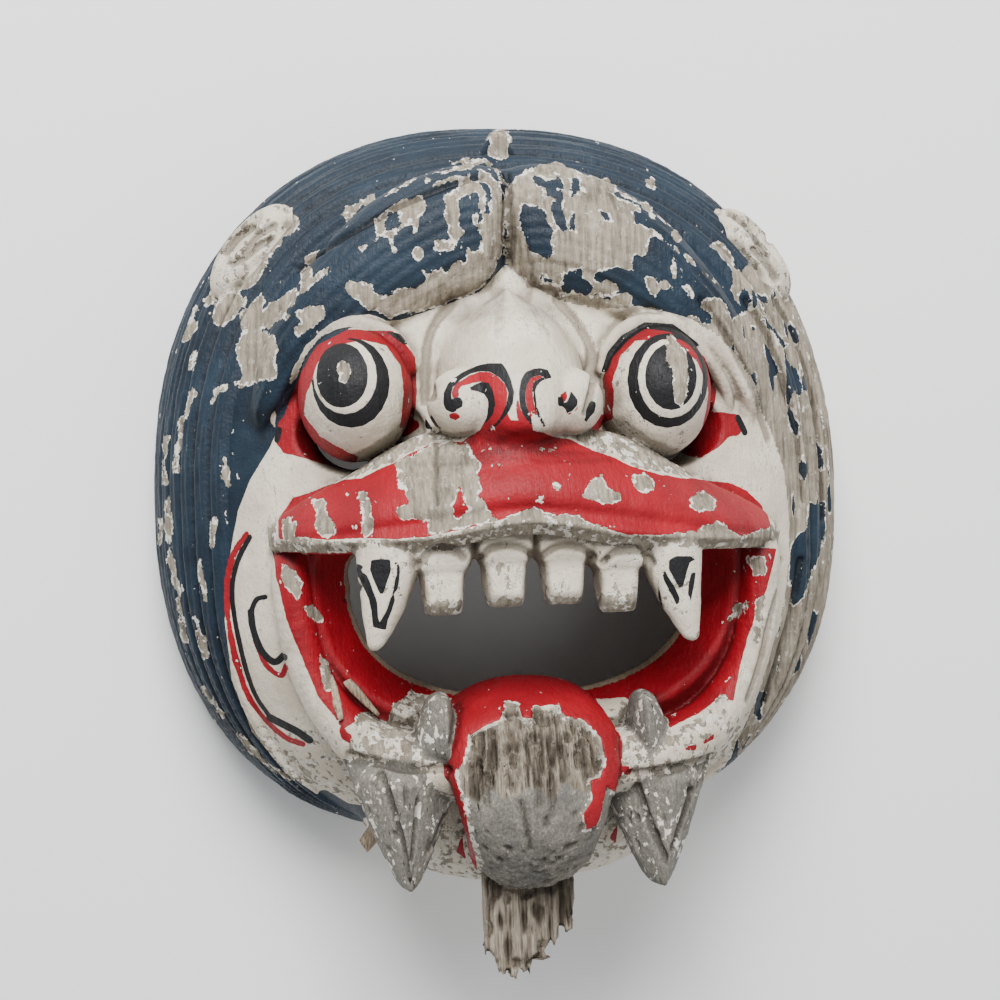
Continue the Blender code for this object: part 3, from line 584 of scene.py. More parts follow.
STUMPS = ((-0.243, -0.58, -1), (0.335, -0.6, 1))
LOWER_FANG = 5.0
for across, up, lean in STUMPS:
    foot = place(across, up, LOWER_FANG * 0.4)
    tip = place(across, up, LOWER_FANG * 3.6) + (lean * LOWER_FANG * 0.2, -LOWER_FANG * 0.2, 0)

    def stump(x, y, z):
        """A leaf that points up the face: its half width grows downwards, and both its sides
        slope up to a ridge that leans towards the tongue."""
        t = np.clip((foot[1] + 7.0 - y) / 13.5, 0, 1)
        half = 1.9 + 3.7 * t**0.8
        middle = foot[0] + lean * (t - 0.8) * 1.4
        ridge = -0.35 * lean * half
        dx = x - middle
        slope = np.where(dx > ridge, (half - dx) / (half - ridge), (half + dx) / (half + ridge))
        crest = 3.0 + 4.6 * np.sin(np.pi * np.clip(t * 0.75 + 0.12, 0, 1)) ** 0.7
        deep = z - tip[2] + 10.5
        front = (deep - crest * np.maximum(slope, 0) ** 0.7) * 0.62
        value = within(front, (np.abs(dx) - half) * 0.9 + 0 * deep, 1.4)
        ends = np.maximum(y - foot[1] - 7.2, foot[1] - 6.6 - y)
        return within(np.maximum(value, foot[2] - z), ends + 0 * value, 2.5)

    add(stump, foot - (10, 10, 1), foot + (10, 10, 20), 0.7, "stump")

TUFTS = ((-1, -0.325, -0.66), (1, 0.345, -0.69))
TUFT_WIDTH, TUFT_DROP, TUFT_RISE = 21.5, 26.0, 11.0
for side, across, up in TUFTS:
    root = place(across, up, TUFT_RISE)

    def tuft(x, y, z):
        """A wedge: its half width and its ridge fall towards the point."""
        t = (root[1] - y) / TUFT_DROP
        s = np.clip(t, 0, 1)
        half = TUFT_WIDTH * (0.5 * (1 - s) ** 0.8 + 0.07)
        crest = TUFT_RISE * (0.5 + 0.5 * (1 - s) ** 0.8) * np.minimum(1, 0.5 + 3 * s)
        ridge = side * TUFT_WIDTH * 0.1 * (1 - s)
        dx = x - root[0]
        slope = np.where(dx > ridge, (half - dx) / (half - ridge), (half + dx) / (half + ridge))
        deep = z - root[2] - TUFT_RISE * 0.14 * t
        value = within((deep - crest * slope) * 0.7, (np.abs(dx) - half) * 0.9 + 0 * deep, 0.6)
        value = np.maximum(value, -deep - TUFT_RISE * (1.27 - 0.7 * s))
        return within(value, np.maximum(t - 1, -t) * TUFT_DROP + 0 * value, 0.8)

    add(tuft, root - (14, 29, 16), root + (14, 3, 14), 0.7, "tuft")


# Ears and knot: two ears carved flat on the hair, each with a scoop cut in it and once painted
# white, and on the crown the broken root of a knot of hair.


def upright(x, y):
    """A turning matrix at a place on the head: its first row runs with the hair, its last out."""
    step = HALF_WIDTH / 800
    height = head_height(x, y)
    slope_x = (head_height(x + step, y) - height) / step
    slope_y = (head_height(x, y + step) - height) / step
    out = np.array([-slope_x, -slope_y, 1]) / math.sqrt(slope_x**2 + slope_y**2 + 1)
    aside = np.array([y, -x, 0]) / math.hypot(x, y)
    return np.stack([aside, np.cross(out, aside), out])


EARS = ((-0.68, 0.70), (0.755, 0.67))
EAR_RADII, SCOOP_RADII, SCOOP_LIFT = (12.5, 7.0, 5.5), (8.2, 3.9, 3.3), 5.5
for across, up in EARS:
    x0, y0 = np.float64(across * HALF_WIDTH), np.float64(up * HALF_HEIGHT)
    turn = upright(x0, y0)
    middle = np.array([x0, y0, float(head_height(x0, y0))])

    def ear(x, y, z, radii=EAR_RADII, lift=0.0):
        """A flat egg turned with the hair. The scoop is a smaller one, lifted out of it."""
        dx, dy, dz = x - middle[0], y - middle[1], z - middle[2]
        a, b, c = (row[0] * dx + row[1] * dy + row[2] * dz for row in turn)
        return egg(a, b, c - lift, radii)

    add(ear, middle - 16, middle + 16, 0.6, "ear")
    scoop = lambda x, y, z: ear(x, y, z, SCOOP_RADII, SCOOP_LIFT)
    carve(scoop, middle - 16, middle + 16, 0.6)

KNOT_HALF_LENGTH, KNOT_ROOT, KNOT_TIP, KNOT_LEAN = 5.5, 6.5, 1.6, 0.9
middle = place(0.012, 0.95, -0.99)


def knot(x, y, z):
    """A cone that leans out over the crown by KNOT_LEAN radians."""
    dy, dz = y - middle[1], z - middle[2]
    axis = dz * math.cos(KNOT_LEAN) + dy * math.sin(KNOT_LEAN)
    side = dy * math.cos(KNOT_LEAN) - dz * math.sin(KNOT_LEAN)
    radius = np.interp(axis, [-KNOT_HALF_LENGTH, KNOT_HALF_LENGTH], [KNOT_ROOT, KNOT_TIP])
    value = (np.sqrt((x - middle[0]) ** 2 + side**2) - radius) * 0.92
    return within(value, np.abs(axis) - KNOT_HALF_LENGTH + 0 * value, 0.8)


add(knot, middle - 10, middle + 12, 0.6)


# Hollow: what was cut out from behind with a gouge, so that the block is light and doesn't split.
# It leaves walls of about 9 mm at the sides and 12 mm in front, in bare wood.

WALL_SIDE, WALL_FRONT, HOLLOW_TOP = 9.0, 12.0, 54.0


def hollow(x, y, z):
    """The head's own form, smaller by the walls, with the shallow flutes that a gouge leaves."""
    m = SECTION_ROUNDNESS
    share = head_share(x, y) * HALF_WIDTH / (HALF_WIDTH - WALL_SIDE)
    value = near((share**m + np.abs(z / (FACE_DEPTH - WALL_FRONT)) ** m) ** (1 / m) - 1)
    flutes = 0.35 * np.sin(y * 0.75 + 2.0 * np.sin(x / 14)) * np.sin(x / 9 + 0.6 * np.sin(y / 11))
    return value - np.minimum(flutes, 0.1)


carve(hollow, (-72, -74, -3), (74, 80, 56), 0.8)
block = np.maximum(block, -grid[2][None, None, :])


# Surface of the block: the grid is skinned, and fine relief that the tool marks and the weather
# left is pressed into the skin. Splits, torn fibre, pits and the grooves in the ears come here.


def surface(field, low, cell):
    """Surface nets: a point in each cell that the surface crosses, at the mean of its crossed
    edges, and a quad round each grid edge that is crossed. Gives points and quads."""
    inside = field < 0
    size = np.array(field.shape) - 1
    corners = [(i, j, k) for i in (0, 1) for j in (0, 1) for k in (0, 1)]
    count = np.zeros(size, np.uint8)
    for i, j, k in corners:
        count += inside[i : size[0] + i, j : size[1] + j, k : size[2] + k]
    cells = np.argwhere((count > 0) & (count < 8))
    number = np.full(size, -1, np.int32)
    number[tuple(cells.T)] = np.arange(len(cells))
    values = {c: field[tuple((cells + c).T)] for c in corners}
    total = np.zeros((len(cells), 3))
    crossings = np.zeros(len(cells))
    for c in corners:
        for axis in range(3):
            if c[axis]:
                continue
            d = tuple(1 if n == axis else c[n] for n in range(3))
            cross = (values[c] < 0) != (values[d] < 0)
            t = values[c] / np.where(cross, values[c] - values[d], 1)
            spot = np.array(c, float) + np.outer(t, np.array(d) - np.array(c))
            total += np.where(cross[:, None], spot, 0)
            crossings += cross
    points = np.asarray(low) + cell * (cells + total / crossings[:, None])
    quads = []
    for axis in range(3):
        one, two = (axis + 1) % 3, (axis + 2) % 3
        start = [slice(None)] * 3
        start[axis] = slice(0, -1)
        end = list(start)
        end[axis] = slice(1, None)
        a, b = inside[tuple(start)], inside[tuple(end)]
        spots = np.argwhere(a != b)
        keep = (spots[:, one] > 0) & (spots[:, two] > 0)
        keep &= (spots[:, one] < size[one]) & (spots[:, two] < size[two])
        spots = spots[keep]
        ring = []
        for back_one, back_two in ((1, 1), (0, 1), (0, 0), (1, 0)):
            cell_at = spots.copy()
            cell_at[:, one] -= back_one
            cell_at[:, two] -= back_two
            ring.append(number[tuple(cell_at.T)])
        ring = np.stack(ring, axis=1)
        flip = ~a[tuple(spots.T)]
        ring[flip] = ring[flip][:, ::-1]
        quads.append(ring)
    return points, np.concatenate(quads)


def corner_normals(points, quads):
    """A direction for each point: the sum of the cross products of the quads' diagonals."""
    a, b, c, d = (points[quads[:, k]] for k in range(4))
    faces = np.cross(c - a, d - b)
    normals = np.zeros_like(points)
    for axis in range(3):
        for k in range(4):
            normals[:, axis] += np.bincount(quads[:, k], faces[:, axis], len(points))
    return normals / np.maximum(np.linalg.norm(normals, axis=1), 1e-9)[:, None]


def read_grid(values, start, points):
    """Values of a grid at any points, blended between its eight nearest; 9 outside it."""
    spot = (points - np.array([line[0] for line in grid])) / CELL - start
    low = np.floor(spot).astype(int)
    good = np.all((low >= 0) & (low < np.array(values.shape) - 1), axis=1)
    low, t = low[good], (spot - low)[good]
    mixed = np.zeros(len(low))
    for i in (0, 1):
        for j in (0, 1):
            for k in (0, 1):
                weight = np.prod(np.where((i, j, k), t, 1 - t), axis=1)
                mixed += weight * values[low[:, 0] + i, low[:, 1] + j, low[:, 2] + k]
    out = np.full(len(points), 9.0)
    out[good] = mixed
    return out


def away_from(name):
    """Distance of each point of the skin from the forms of one name."""
    return np.min([read_grid(values, start, points) for start, values in forms[name]], axis=0)


def noise(p, size, seed=0):
    """Smooth noise from -1 to 1 over blobs of a size in mm: numbers hashed from whole places and
    blended between them."""
    spot = p / size + seed * 17.37
    cell = np.floor(spot).astype(np.int64)
    t = spot - cell
    t = t * t * (3 - 2 * t)
    total = np.zeros(len(p))
    for i in (0, 1):
        for j in (0, 1):
            for k in (0, 1):
                x, y, z = ((cell[:, n] + (i, j, k)[n]) & 0xFFFF for n in range(3))
                h = (x * 73856093) ^ (y * 19349663) ^ (z * 83492791)
                h = (h ^ (h >> 13)) * 1274126177 & 0xFFFFFFFF
                value = (h & 0xFFFF) / 32768.0 - 1
                total += value * np.prod(np.where((i, j, k), t, 1 - t), axis=1)
    return total


def in_outlines(outlines, p, reach=3.0):
    """How far inside any of some outlines a place in plan is, in mm, below 0 outside."""
    best = np.full(len(p), -reach)
    for outline in outlines:
        corners = np.array(outline, float)
        low, high = corners.min(axis=0) - reach, corners.max(axis=0) + reach
        near_by = np.flatnonzero(np.all((p[:, :2] > low) & (p[:, :2] < high), axis=1))
        q = p[near_by, :2]
        gap = np.full(len(q), 1e9)
        crossed = np.zeros(len(q), bool)
        for a, b in zip(corners, np.roll(corners, -1, axis=0)):
            run = b - a
            t = np.clip((q - a) @ run / max(run @ run, 1e-9), 0, 1)
            gap = np.minimum(gap, np.linalg.norm(q - a - t[:, None] * run, axis=1))
            if a[1] != b[1]:
                over = (a[1] > q[:, 1]) != (b[1] > q[:, 1])
                crossed ^= over & (q[:, 0] < a[0] + (q[:, 1] - a[1]) * run[0] / run[1])
        best[near_by] = np.maximum(best[near_by], np.where(crossed, gap, -gap))
    return best


def on_strokes(strokes, p, reach=3.0):
    """How far inside any brush stroke, of its own half width, a place in plan is, in mm."""
    best = np.full(len(p), -reach)
    for half, path in strokes:
        corners = along(path, 5 * len(path))
        room = reach + half
        low, high = corners.min(axis=0) - room, corners.max(axis=0) + room
        near_by = np.flatnonzero(np.all((p[:, :2] > low) & (p[:, :2] < high), axis=1))
        q = p[near_by, :2]
        gap = np.full(len(q), 1e9)
        for a, b in zip(corners[:-1], corners[1:]):
            run = b - a
            t = np.clip((q - a) @ run / max(run @ run, 1e-9), 0, 1)
            gap = np.minimum(gap, np.linalg.norm(q - a - t[:, None] * run, axis=1))
        value = math.hypot(half, 0.35) - np.sqrt(gap**2 + 0.35**2)
        best[near_by] = np.maximum(best[near_by], value)
    return best


points, quads = surface(block, [line[0] for line in grid], CELL)
normals = corner_normals(points, quads)
share_out = head_share(points[:, 0], points[:, 1])
hollow_share = share_out * HALF_WIDTH / (HALF_WIDTH - WALL_SIDE)
m = SECTION_ROUNDNESS
hollow_height = np.abs(points[:, 2] / (FACE_DEPTH - WALL_FRONT))
from_hollow = (hollow_share**m + hollow_height**m) ** (1 / m) - 1
gouged = (np.abs(from_hollow) < 0.035) & (points[:, 2] < HOLLOW_TOP)
behind = points[:, 2] < 0.02
outside = ~gouged & ~behind

TORN_TONGUE = [
    [(-13.2, -47.5), (-9.3, -45.3), (-6.6, -44.4), (-4.6, -41.5), (-2.5, -41.3), (-2.2, -44.2),
     (0.1, -44.3), (0.4, -42.3), (6.1, -42.2), (6, -44.6), (10.4, -45.2), (13.6, -48.8), (14.2, -52.7),
     (12.8, -56.4), (10.6, -56.8), (10.8, -60.7), (8.8, -63.2), (9.4, -66.9), (12.1, -66.7),
     (13.1, -63.8), (14.3, -58.6), (18.1, -62.4), (18.5, -60.1), (19.8, -63.4), (20.4, -74.9),
     (18.8, -89.5), (0.7, -85.3), (-7.9, -89.7), (-11.8, -73.4), (-13.3, -68.1), (-15.7, -54.5),
     (-13.6, -50.6)],
]
SPLITS = [
    (0.24, [(-17.4, 14.5), (-18.5, 6.3), (-18.8, -0.5)]),
    (0.2, [(-3.9, -59.8), (-1.8, -70.4)]),
    (0.24, [(-5.9, -53.9), (-5.3, -57.8)]),
    (0.29, [(-23.6, -60), (-25.2, -72.1)]),
    (0.21, [(-17.7, -64.3), (-21.1, -71.2)]),
    (0.22, [(-33.4, -14.7), (-36.1, -20.1)]),
]
SLOTS = [
    (0.64, [(33.8, -62), (31.7, -67), (29, -72.7)]),
]
GROOVES = [
    (0.46, [(-12.1, 41.4), (-15.7, 37.5), (-17.8, 32.7), (-18.7, 25.4), (-18.9, 20.8)]),
    (0.45, [(9.8, 41.6), (14.1, 35.9), (16.5, 29.5), (13.3, 21.7), (11.6, 16.8)]),
    (0.41, [(-36.6, -51.1), (-30.7, -52.6), (-23.8, -53.9), (-17.3, -54.1)]),
    (0.42, [(20.4, -57.1), (25.8, -56.9), (32.5, -56.2), (39.3, -55.4)]),
    (0.31, [(-22.6, -12), (-20.7, -9.7), (-18.1, -9), (-15.2, -9.7), (-13.6, -11.2)]),
    (0.32, [(-10.4, -11.4), (-8.5, -9.4), (-5.5, -8.9), (-2.5, -9.4), (-0.2, -11.1)]),
    (0.32, [(2.1, -11.2), (4.3, -9.7), (7.1, -9.4), (9.9, -10.1), (12, -12)]),
    (0.32, [(13.9, -13.2), (16.4, -11.1), (19.2, -10.6), (22, -11.3), (24, -13.5)]),
    (0.4, [(-55.1, 55.3), (-52.9, 57.9), (-50.5, 59.6), (-48.1, 60.9)]),
    (0.4, [(-57.6, 52.9), (-55, 54), (-51.9, 56.3), (-49.3, 57.8)]),
    (0.34, [(-58.9, 56.4), (-56.2, 59.4), (-53.1, 61.4)]),
    (0.41, [(53.7, 62.6), (56.6, 59.5), (58.9, 55.7), (60.8, 52.1)]),
    (0.43, [(60.3, 64.8), (63.8, 62.4), (63.8, 57.1)]),
    (0.37, [(57.6, 53.9), (60.3, 51.2), (63.3, 47.3)]),
    (0.16, [(-30.7, -54.4), (-28.9, -61.3), (-26.8, -69.9), (-26, -76)]),
    (0.17, [(22.1, -60), (24.6, -68.6), (27, -75.5)]),
    (0.34, [(-43.2, 50.4), (-37, 53.8), (-30.8, 57), (-22.5, 61.2), (-14.1, 64.6), (-5.5, 67.5)]),
    (0.38, [(0.2, 67.8), (-0.2, 62.2), (-0.7, 56.1), (-0.3, 49.9)]),
    (0.32, [(39.7, 40.4), (44.6, 34.2), (49.2, 26.7), (53.4, 19.1), (56.4, 11)]),
    (0.33, [(53.6, 42), (58.5, 33.1), (61.8, 22), (64.3, 10.9), (65.2, -2.3)]),
    (0.34, [(62, 42.7), (67, 32.5), (70.1, 20.1), (71.5, 6.5), (71.4, -7)]),
    (0.26, [(58.5, -15.2), (53.6, -25.3), (50.7, -35.8), (47.6, -44.1)]),
    (0.27, [(64.3, -15.5), (62, -26.6), (59, -37.6), (56.7, -46.9)]),
]

tongue_gap, stub_gap = away_from("tongue"), away_from("stub")
tuft_gap, ear_gap = away_from("tuft"), away_from("ear")
lip_gap = away_from("upper_lip")
tongue_torn = np.minimum(in_outlines(TORN_TONGUE, points, 6.0), (0.6 - tongue_gap) * 4)
above = points[:, 1] + 58.5 + 2.0 * noise(points * (1, 0, 0), 2.5, 8)
fibre = smooth(-0.3, 0.6, np.minimum(tongue_torn, above))
fibre = np.maximum(fibre, smooth(0.9, 0.2, stub_gap) * smooth(-74.5, -77, points[:, 1]))
strings_run = points * (1 / 1.15, 1 / 18.0, 1 / 5.0)
fibre_gaps = np.abs(noise(strings_run, 1.0, 1)) + 0.4 * np.abs(noise(strings_run * 2.1, 1.0, 2))
fibre_gaps = np.clip(1 - 2.3 * fibre_gaps, 0, 1)
pits = smooth(0.42, 0.75, noise(points * (1.0, 0.45, 1.0), 1.5, 3))
splits = smooth(-0.25, 0.25, on_strokes(SPLITS, points)) * outside
slots = smooth(-0.4, 0.4, on_strokes(SLOTS, points)) * outside
grooves = smooth(-0.7, 0.35, on_strokes(GROOVES, points)) * outside
old = np.maximum(smooth(1.2, 0.3, tuft_gap), smooth(-1.0, 1.0, tongue_torn))
fibre_holes = smooth(0.35, 0.6, noise(points * (1, 0.5, 1), 1.9, 7))
relief = -1.5 * fibre * fibre_gaps - 1.3 * fibre_holes * fibre
relief -= 0.45 * smooth(-0.4, 0.6, tongue_torn)
relief -= 0.7 * pits * np.maximum(0.9 * old, fibre)
relief -= 0.9 * splits + 2.4 * slots + 1.1 * grooves
relief += 0.10 * noise(points, 2.6, 4) * outside + 0.05 * noise(points, 1.1, 5) * outside
crumbs = smooth(-71, -74, points[:, 1]) * smooth(1.0, 0.3, tongue_gap)
relief += 0.45 * crumbs * noise(points, 0.9, 6)
points = points + normals * relief[:, None]
normals = corner_normals(points, quads)

# How closely the wood closes in over each point, near and farther out, and how far it stands out. The
# first two darken creases with dirt and painted shade; the last wears paint off edges.
crevice = np.clip((1.7 - read_grid(block, 0, points + normals * 1.7)) / 1.7, 0, 1)
wide_crevice = np.clip((4.0 - read_grid(block, 0, points + normals * 4.0)) / 4.0, 0, 1)
ridge = np.clip((read_grid(block, 0, points - normals * 1.5) + 1.5) / 1.2, 0, 1)


# Blue of the hair: dark blue paint over a white ground, combed back from the face. It is worn to
# white and grey wood on the locks, the ears and all down the right side.

FACE = [
    [(-0.3, 49.5), (-6.3, 43.5), (-14.7, 40.5), (-23.2, 37.9), (-29.6, 37.5), (-33.8, 36.1),
     (-39.1, 31.3), (-43.7, 24.7), (-47.5, 19.2), (-51.2, 12.1), (-55.2, 6), (-57.9, -0.2),
     (-60.2, -10.7), (-61.6, -23.5), (-60.7, -36.7), (-56.9, -48.7), (-50, -58.1), (-41.4, -65.3),
     (-33.6, -67.2), (-32.3, -76.2), (-26.2, -88.6), (-9.1, -91.2), (-2.9, -111.1), (11, -112),
     (16.4, -92.8), (44.8, -87.6), (49.1, -68), (51, -57.2), (53.6, -48.7), (56.9, -37.3), (59.6, -26.3),
     (61.3, -15.4), (61.4, -6.6), (60.5, 4.4), (57.4, 13.1), (54.1, 19.6), (49.8, 26.8), (43.9, 33.1),
     (37.3, 36.6), (26.8, 39.4), (18.8, 39.5), (10.6, 41.5), (4.2, 44.7)],
]
HAIR_WORN = [
    [(-70.1, 37.7), (-68.2, 40.8), (-66.3, 42.8), (-65.8, 40.2), (-68.2, 37.8)],
    [(-64.4, 46.5), (-62, 47.3), (-60.5, 46.2), (-63.5, 44.4)],
    [(-68.3, 24), (-66.9, 26.5), (-65.8, 25.3), (-68.9, 19.7)],
    [(-63.2, 22.8), (-61.6, 26.2), (-60.5, 26), (-62.6, 22.8)],
    [(2.1, 84.8), (4.7, 85.4), (5.8, 82.6), (2.4, 76.1), (0.2, 76.5)],
    [(-0.2, 66.1), (1.8, 67.2), (4, 68.3), (6.7, 69.5), (11.5, 73.2), (13.9, 73.6), (15.7, 72.5),
     (14.8, 68.5), (17.4, 67.4), (22.9, 69.7), (24.7, 69.3), (25.7, 67.5), (22.3, 63.1), (23.9, 61.5),
     (25.9, 59.8), (26.2, 58.4), (26.3, 56.8), (29.3, 55.1), (28.8, 52.9), (28.5, 50.2), (25.5, 49.8),
     (24.8, 48.4), (25.4, 46.7), (23.5, 46.3), (22, 47), (20, 47.1), (17.9, 46.3), (17.1, 45.4),
     (18.8, 44.7), (20.6, 44.6), (22.3, 43.4), (22.8, 42.6), (21.1, 42), (19.1, 41.9), (17.9, 42.6),
     (16.9, 41.9), (18.6, 41), (20.8, 40.7), (22.2, 42), (24.1, 42.7), (25, 41.5), (24.9, 39.9),
     (26.8, 39.4), (25.6, 37.6), (23.1, 36.5), (18.7, 35.9), (14.5, 37.5), (10.6, 40.3), (6.4, 42.8),
     (2.3, 45.7), (0, 48.1), (-0.8, 52.2), (-0.7, 59.1)],
    [(27.7, 45), (29.1, 45.2), (30.4, 44.1), (31.7, 44.5), (33, 43.7), (33.6, 43.1), (31.9, 42.5),
     (30.4, 42.3), (29.8, 41.1), (29.1, 42.1), (28.1, 43.2), (28.3, 44.2)],
    [(34.5, 43.7), (36.3, 43.9), (37.4, 43.3), (38.2, 42), (38.6, 40.3), (37.3, 40.8), (36.6, 42),
     (34.9, 42.5)],
    [(25.2, 37.5), (26.8, 39), (29.5, 38.7), (31.9, 38), (33.3, 36.7), (34.4, 35.2), (35.9, 35.4),
     (36.6, 37.1), (37.9, 37.7), (38.8, 36.8), (40.5, 35.8), (41.7, 35.4), (41.6, 37.3), (40.1, 38.1),
     (39.2, 39.1), (39.9, 40.4), (41.1, 40.8), (42.2, 40.1), (44.2, 41.2), (45.9, 40.2), (46.6, 38),
     (46.9, 36.3), (51.3, 38.2), (52.1, 39.6), (50.8, 41.8), (49.5, 43.5), (50.8, 45.2), (50.5, 47.4),
     (49.3, 50.1), (47.4, 52.5), (45.9, 54.1), (47.7, 55.5), (49.7, 54.6), (51.2, 53.2), (52.1, 51.2),
     (51.8, 49.1), (53.8, 49), (55.1, 50.3), (57.2, 51.4), (57.4, 52.7), (56.3, 54.5), (55.7, 56.1),
     (55, 58.4), (54.2, 59.2), (53, 58.1), (52.2, 59), (52.6, 61.4), (53.2, 63.6), (55.1, 67.4),
     (53.3, 68.8), (51.9, 70.5), (56.4, 70.9), (64.7, 68), (71.7, 60.8), (78.4, 46.6), (83.9, 30.1),
     (85.5, 8.8), (83.4, -17), (77.9, -35.5), (70.1, -49.2), (62.7, -55.9), (56.4, -64.9), (50.7, -55.9),
     (53.1, -46.2), (51.8, -35.9), (58.3, -28.4), (60.8, -17.5), (61.4, -6.6), (59.4, 0), (57.7, 4.4),
     (54.5, 9.9), (51.3, 16.4), (48.1, 20.7), (42.7, 26.8), (40.4, 29.9), (38.7, 33.1), (34.8, 34.1),
     (28.3, 35.8)],
    [(34.7, 55.3), (39.5, 57.2), (37.2, 54.1), (35.6, 52.6), (34.7, 53.2)],
    [(33.8, 69.7), (35.5, 70.2), (36.3, 68.8), (34.8, 67.1), (33.5, 67.7)],
    [(28.3, 61.7), (32.3, 64), (33.4, 62.4), (30.2, 59.7), (28.6, 60)],
    [(22.5, 62.8), (24.7, 61.8), (27.4, 60.3), (27.5, 59.4), (25.4, 59.7), (23.3, 60.8)],
    [(-5.7, 69.5), (-3.9, 68.7), (-2.5, 66.9), (-1.4, 64.3), (-0.7, 60.1), (-0.3, 56.1), (-1.1, 52.6),
     (-2.9, 48.8), (-4.9, 45.7), (-6.7, 44), (-9.5, 42.3), (-12.5, 41.2), (-16.9, 40.1), (-21.1, 39.3),
     (-25.4, 38.4), (-27.9, 39), (-30.3, 39.4), (-31.9, 41.6), (-33.7, 42.9), (-34.3, 44.3),
     (-33.6, 45.7), (-31.8, 45), (-29, 45.2), (-28.2, 43.3), (-26.6, 42.1), (-25.1, 42.1), (-24.9, 43.7),
     (-23.7, 44.1), (-20.8, 44.3), (-18.3, 46), (-18.7, 47.6), (-17, 47), (-14.7, 48.2), (-13.7, 47.2),
     (-12.4, 49.1), (-10.8, 50.1), (-9.9, 49.2), (-9, 51.8), (-6.9, 51.5), (-6.5, 54), (-6.4, 56.6),
     (-5.3, 58.5), (-3.8, 58.7), (-3.8, 61.9), (-4, 64.6), (-5.2, 65.5), (-6.2, 65.9)],
    [(-9.8, 67.6), (-8.1, 67.8), (-7.5, 66.6), (-6.2, 65.9), (-5, 64.8), (-4.8, 63.6), (-5.8, 59.5),
     (-6.7, 60.2), (-6.3, 62.7), (-7.2, 64), (-9.2, 62.9), (-10.5, 62.1), (-10.3, 58.7), (-10.4, 55.2),
     (-11.1, 53.6), (-12.5, 53.6), (-13, 56.1), (-13.6, 58.8), (-13.8, 61.9), (-13.5, 63.1),
     (-11.8, 63.5), (-10.5, 64.1), (-9.8, 65.9), (-10.3, 66.7)],
    [(-15.6, 53.4), (-13.6, 53.6), (-11.7, 53.4), (-11.8, 51.6), (-13.4, 51.2), (-15.5, 51.6)],
    [(-28.3, 58.9), (-26.7, 59.7), (-25, 60.7), (-23.3, 61.6), (-20.8, 62.8), (-18.7, 63.8),
     (-17.5, 64.2), (-17.6, 62.1), (-17.2, 59.9), (-17.9, 58.6), (-19.9, 58.1), (-21.8, 57.5),
     (-23.2, 57.5), (-22.7, 59.5), (-23.6, 60.6), (-25, 59.9), (-25.9, 57.3), (-25.7, 55.7),
     (-24.1, 55.7), (-25.4, 54.5), (-26.8, 54.3), (-27.8, 55), (-28.1, 57)],
    [(-20.8, 51.7), (-19.7, 53.3), (-19, 52), (-18.4, 50.6), (-18.8, 49.6), (-20.3, 49.8), (-21, 50.9)],
    [(-13.5, 68.6), (-11.5, 69.6), (-7.3, 73.2), (-4.4, 73.9), (-3.4, 73.4), (-7.4, 69.5), (-10, 68.7),
     (-11.8, 68), (-13.2, 67.8)],
    [(-33, 64.4), (-31.6, 64.4), (-29.4, 65.5), (-26.7, 66), (-27.2, 63.2), (-29.1, 63.7),
     (-31.7, 62.3), (-32.6, 60.8), (-33, 61.9)],
    [(-16.8, 68), (-15.7, 67.3), (-16.1, 65.7), (-17.3, 65.8)],
    [(-42.8, 49.9), (-41.5, 50.7), (-40.8, 47.6), (-40.3, 46), (-41.3, 43.9), (-43, 43.7),
     (-43.9, 45.2), (-43.2, 47)],
    [(-39.8, 47.8), (-37.7, 48.7), (-38.2, 47.3), (-39.8, 46.8)],
    [(-42.2, 53.1), (-40.3, 54.1), (-38.4, 54.8), (-39.7, 53.2), (-41, 51.5), (-42.1, 52)],
    [(-44.1, 39.8), (-42.7, 40.5), (-40, 41.5), (-38.8, 41.1), (-38.1, 38.4), (-40.2, 37),
     (-42.2, 35.9), (-44.5, 35), (-44.7, 36.2), (-43.8, 37.8)],
    [(-55.8, 42.1), (-54, 43.1), (-51.4, 46), (-50.6, 44.1), (-51.1, 42.4), (-48.7, 44), (-46.5, 45.6),
     (-44.4, 46.3), (-43.6, 44), (-45.1, 42.3), (-46.1, 40.7), (-46.8, 39), (-48.7, 38.5), (-50.4, 38),
     (-51.6, 37.7), (-50.4, 36.7), (-48.8, 35), (-48.5, 32.4), (-49, 29.4), (-49.1, 26.3), (-52.4, 26.3),
     (-54.5, 26.3), (-57.5, 26), (-58.3, 26.9), (-55.9, 28.3), (-56.9, 30.5), (-57.5, 33.7),
     (-56.3, 35.8), (-55.6, 37.9), (-56, 40.4)],
    [(-62.7, 25.2), (-60.5, 26.2), (-58.7, 26.5), (-59.6, 25.3), (-61.9, 24.3)],
    [(-64, 46.5), (-62.1, 48.9), (-61.3, 48.1), (-61.9, 45.8), (-63.2, 45.6)],
    [(-55.9, 45.1), (-54.3, 46.3), (-54, 44.6), (-55.3, 43.4)],
    [(-60.7, 53.9), (-58, 58.9), (-52.4, 62.5), (-48, 63.5), (-43.1, 63.1), (-42.7, 61.3),
     (-44.5, 59.3), (-46.5, 58.1), (-47.2, 56.3), (-48.9, 54.9), (-50.3, 52.7), (-51.2, 49.9),
     (-53.9, 46.8), (-57.2, 46), (-60.4, 47.2), (-60.9, 50.8)],
]
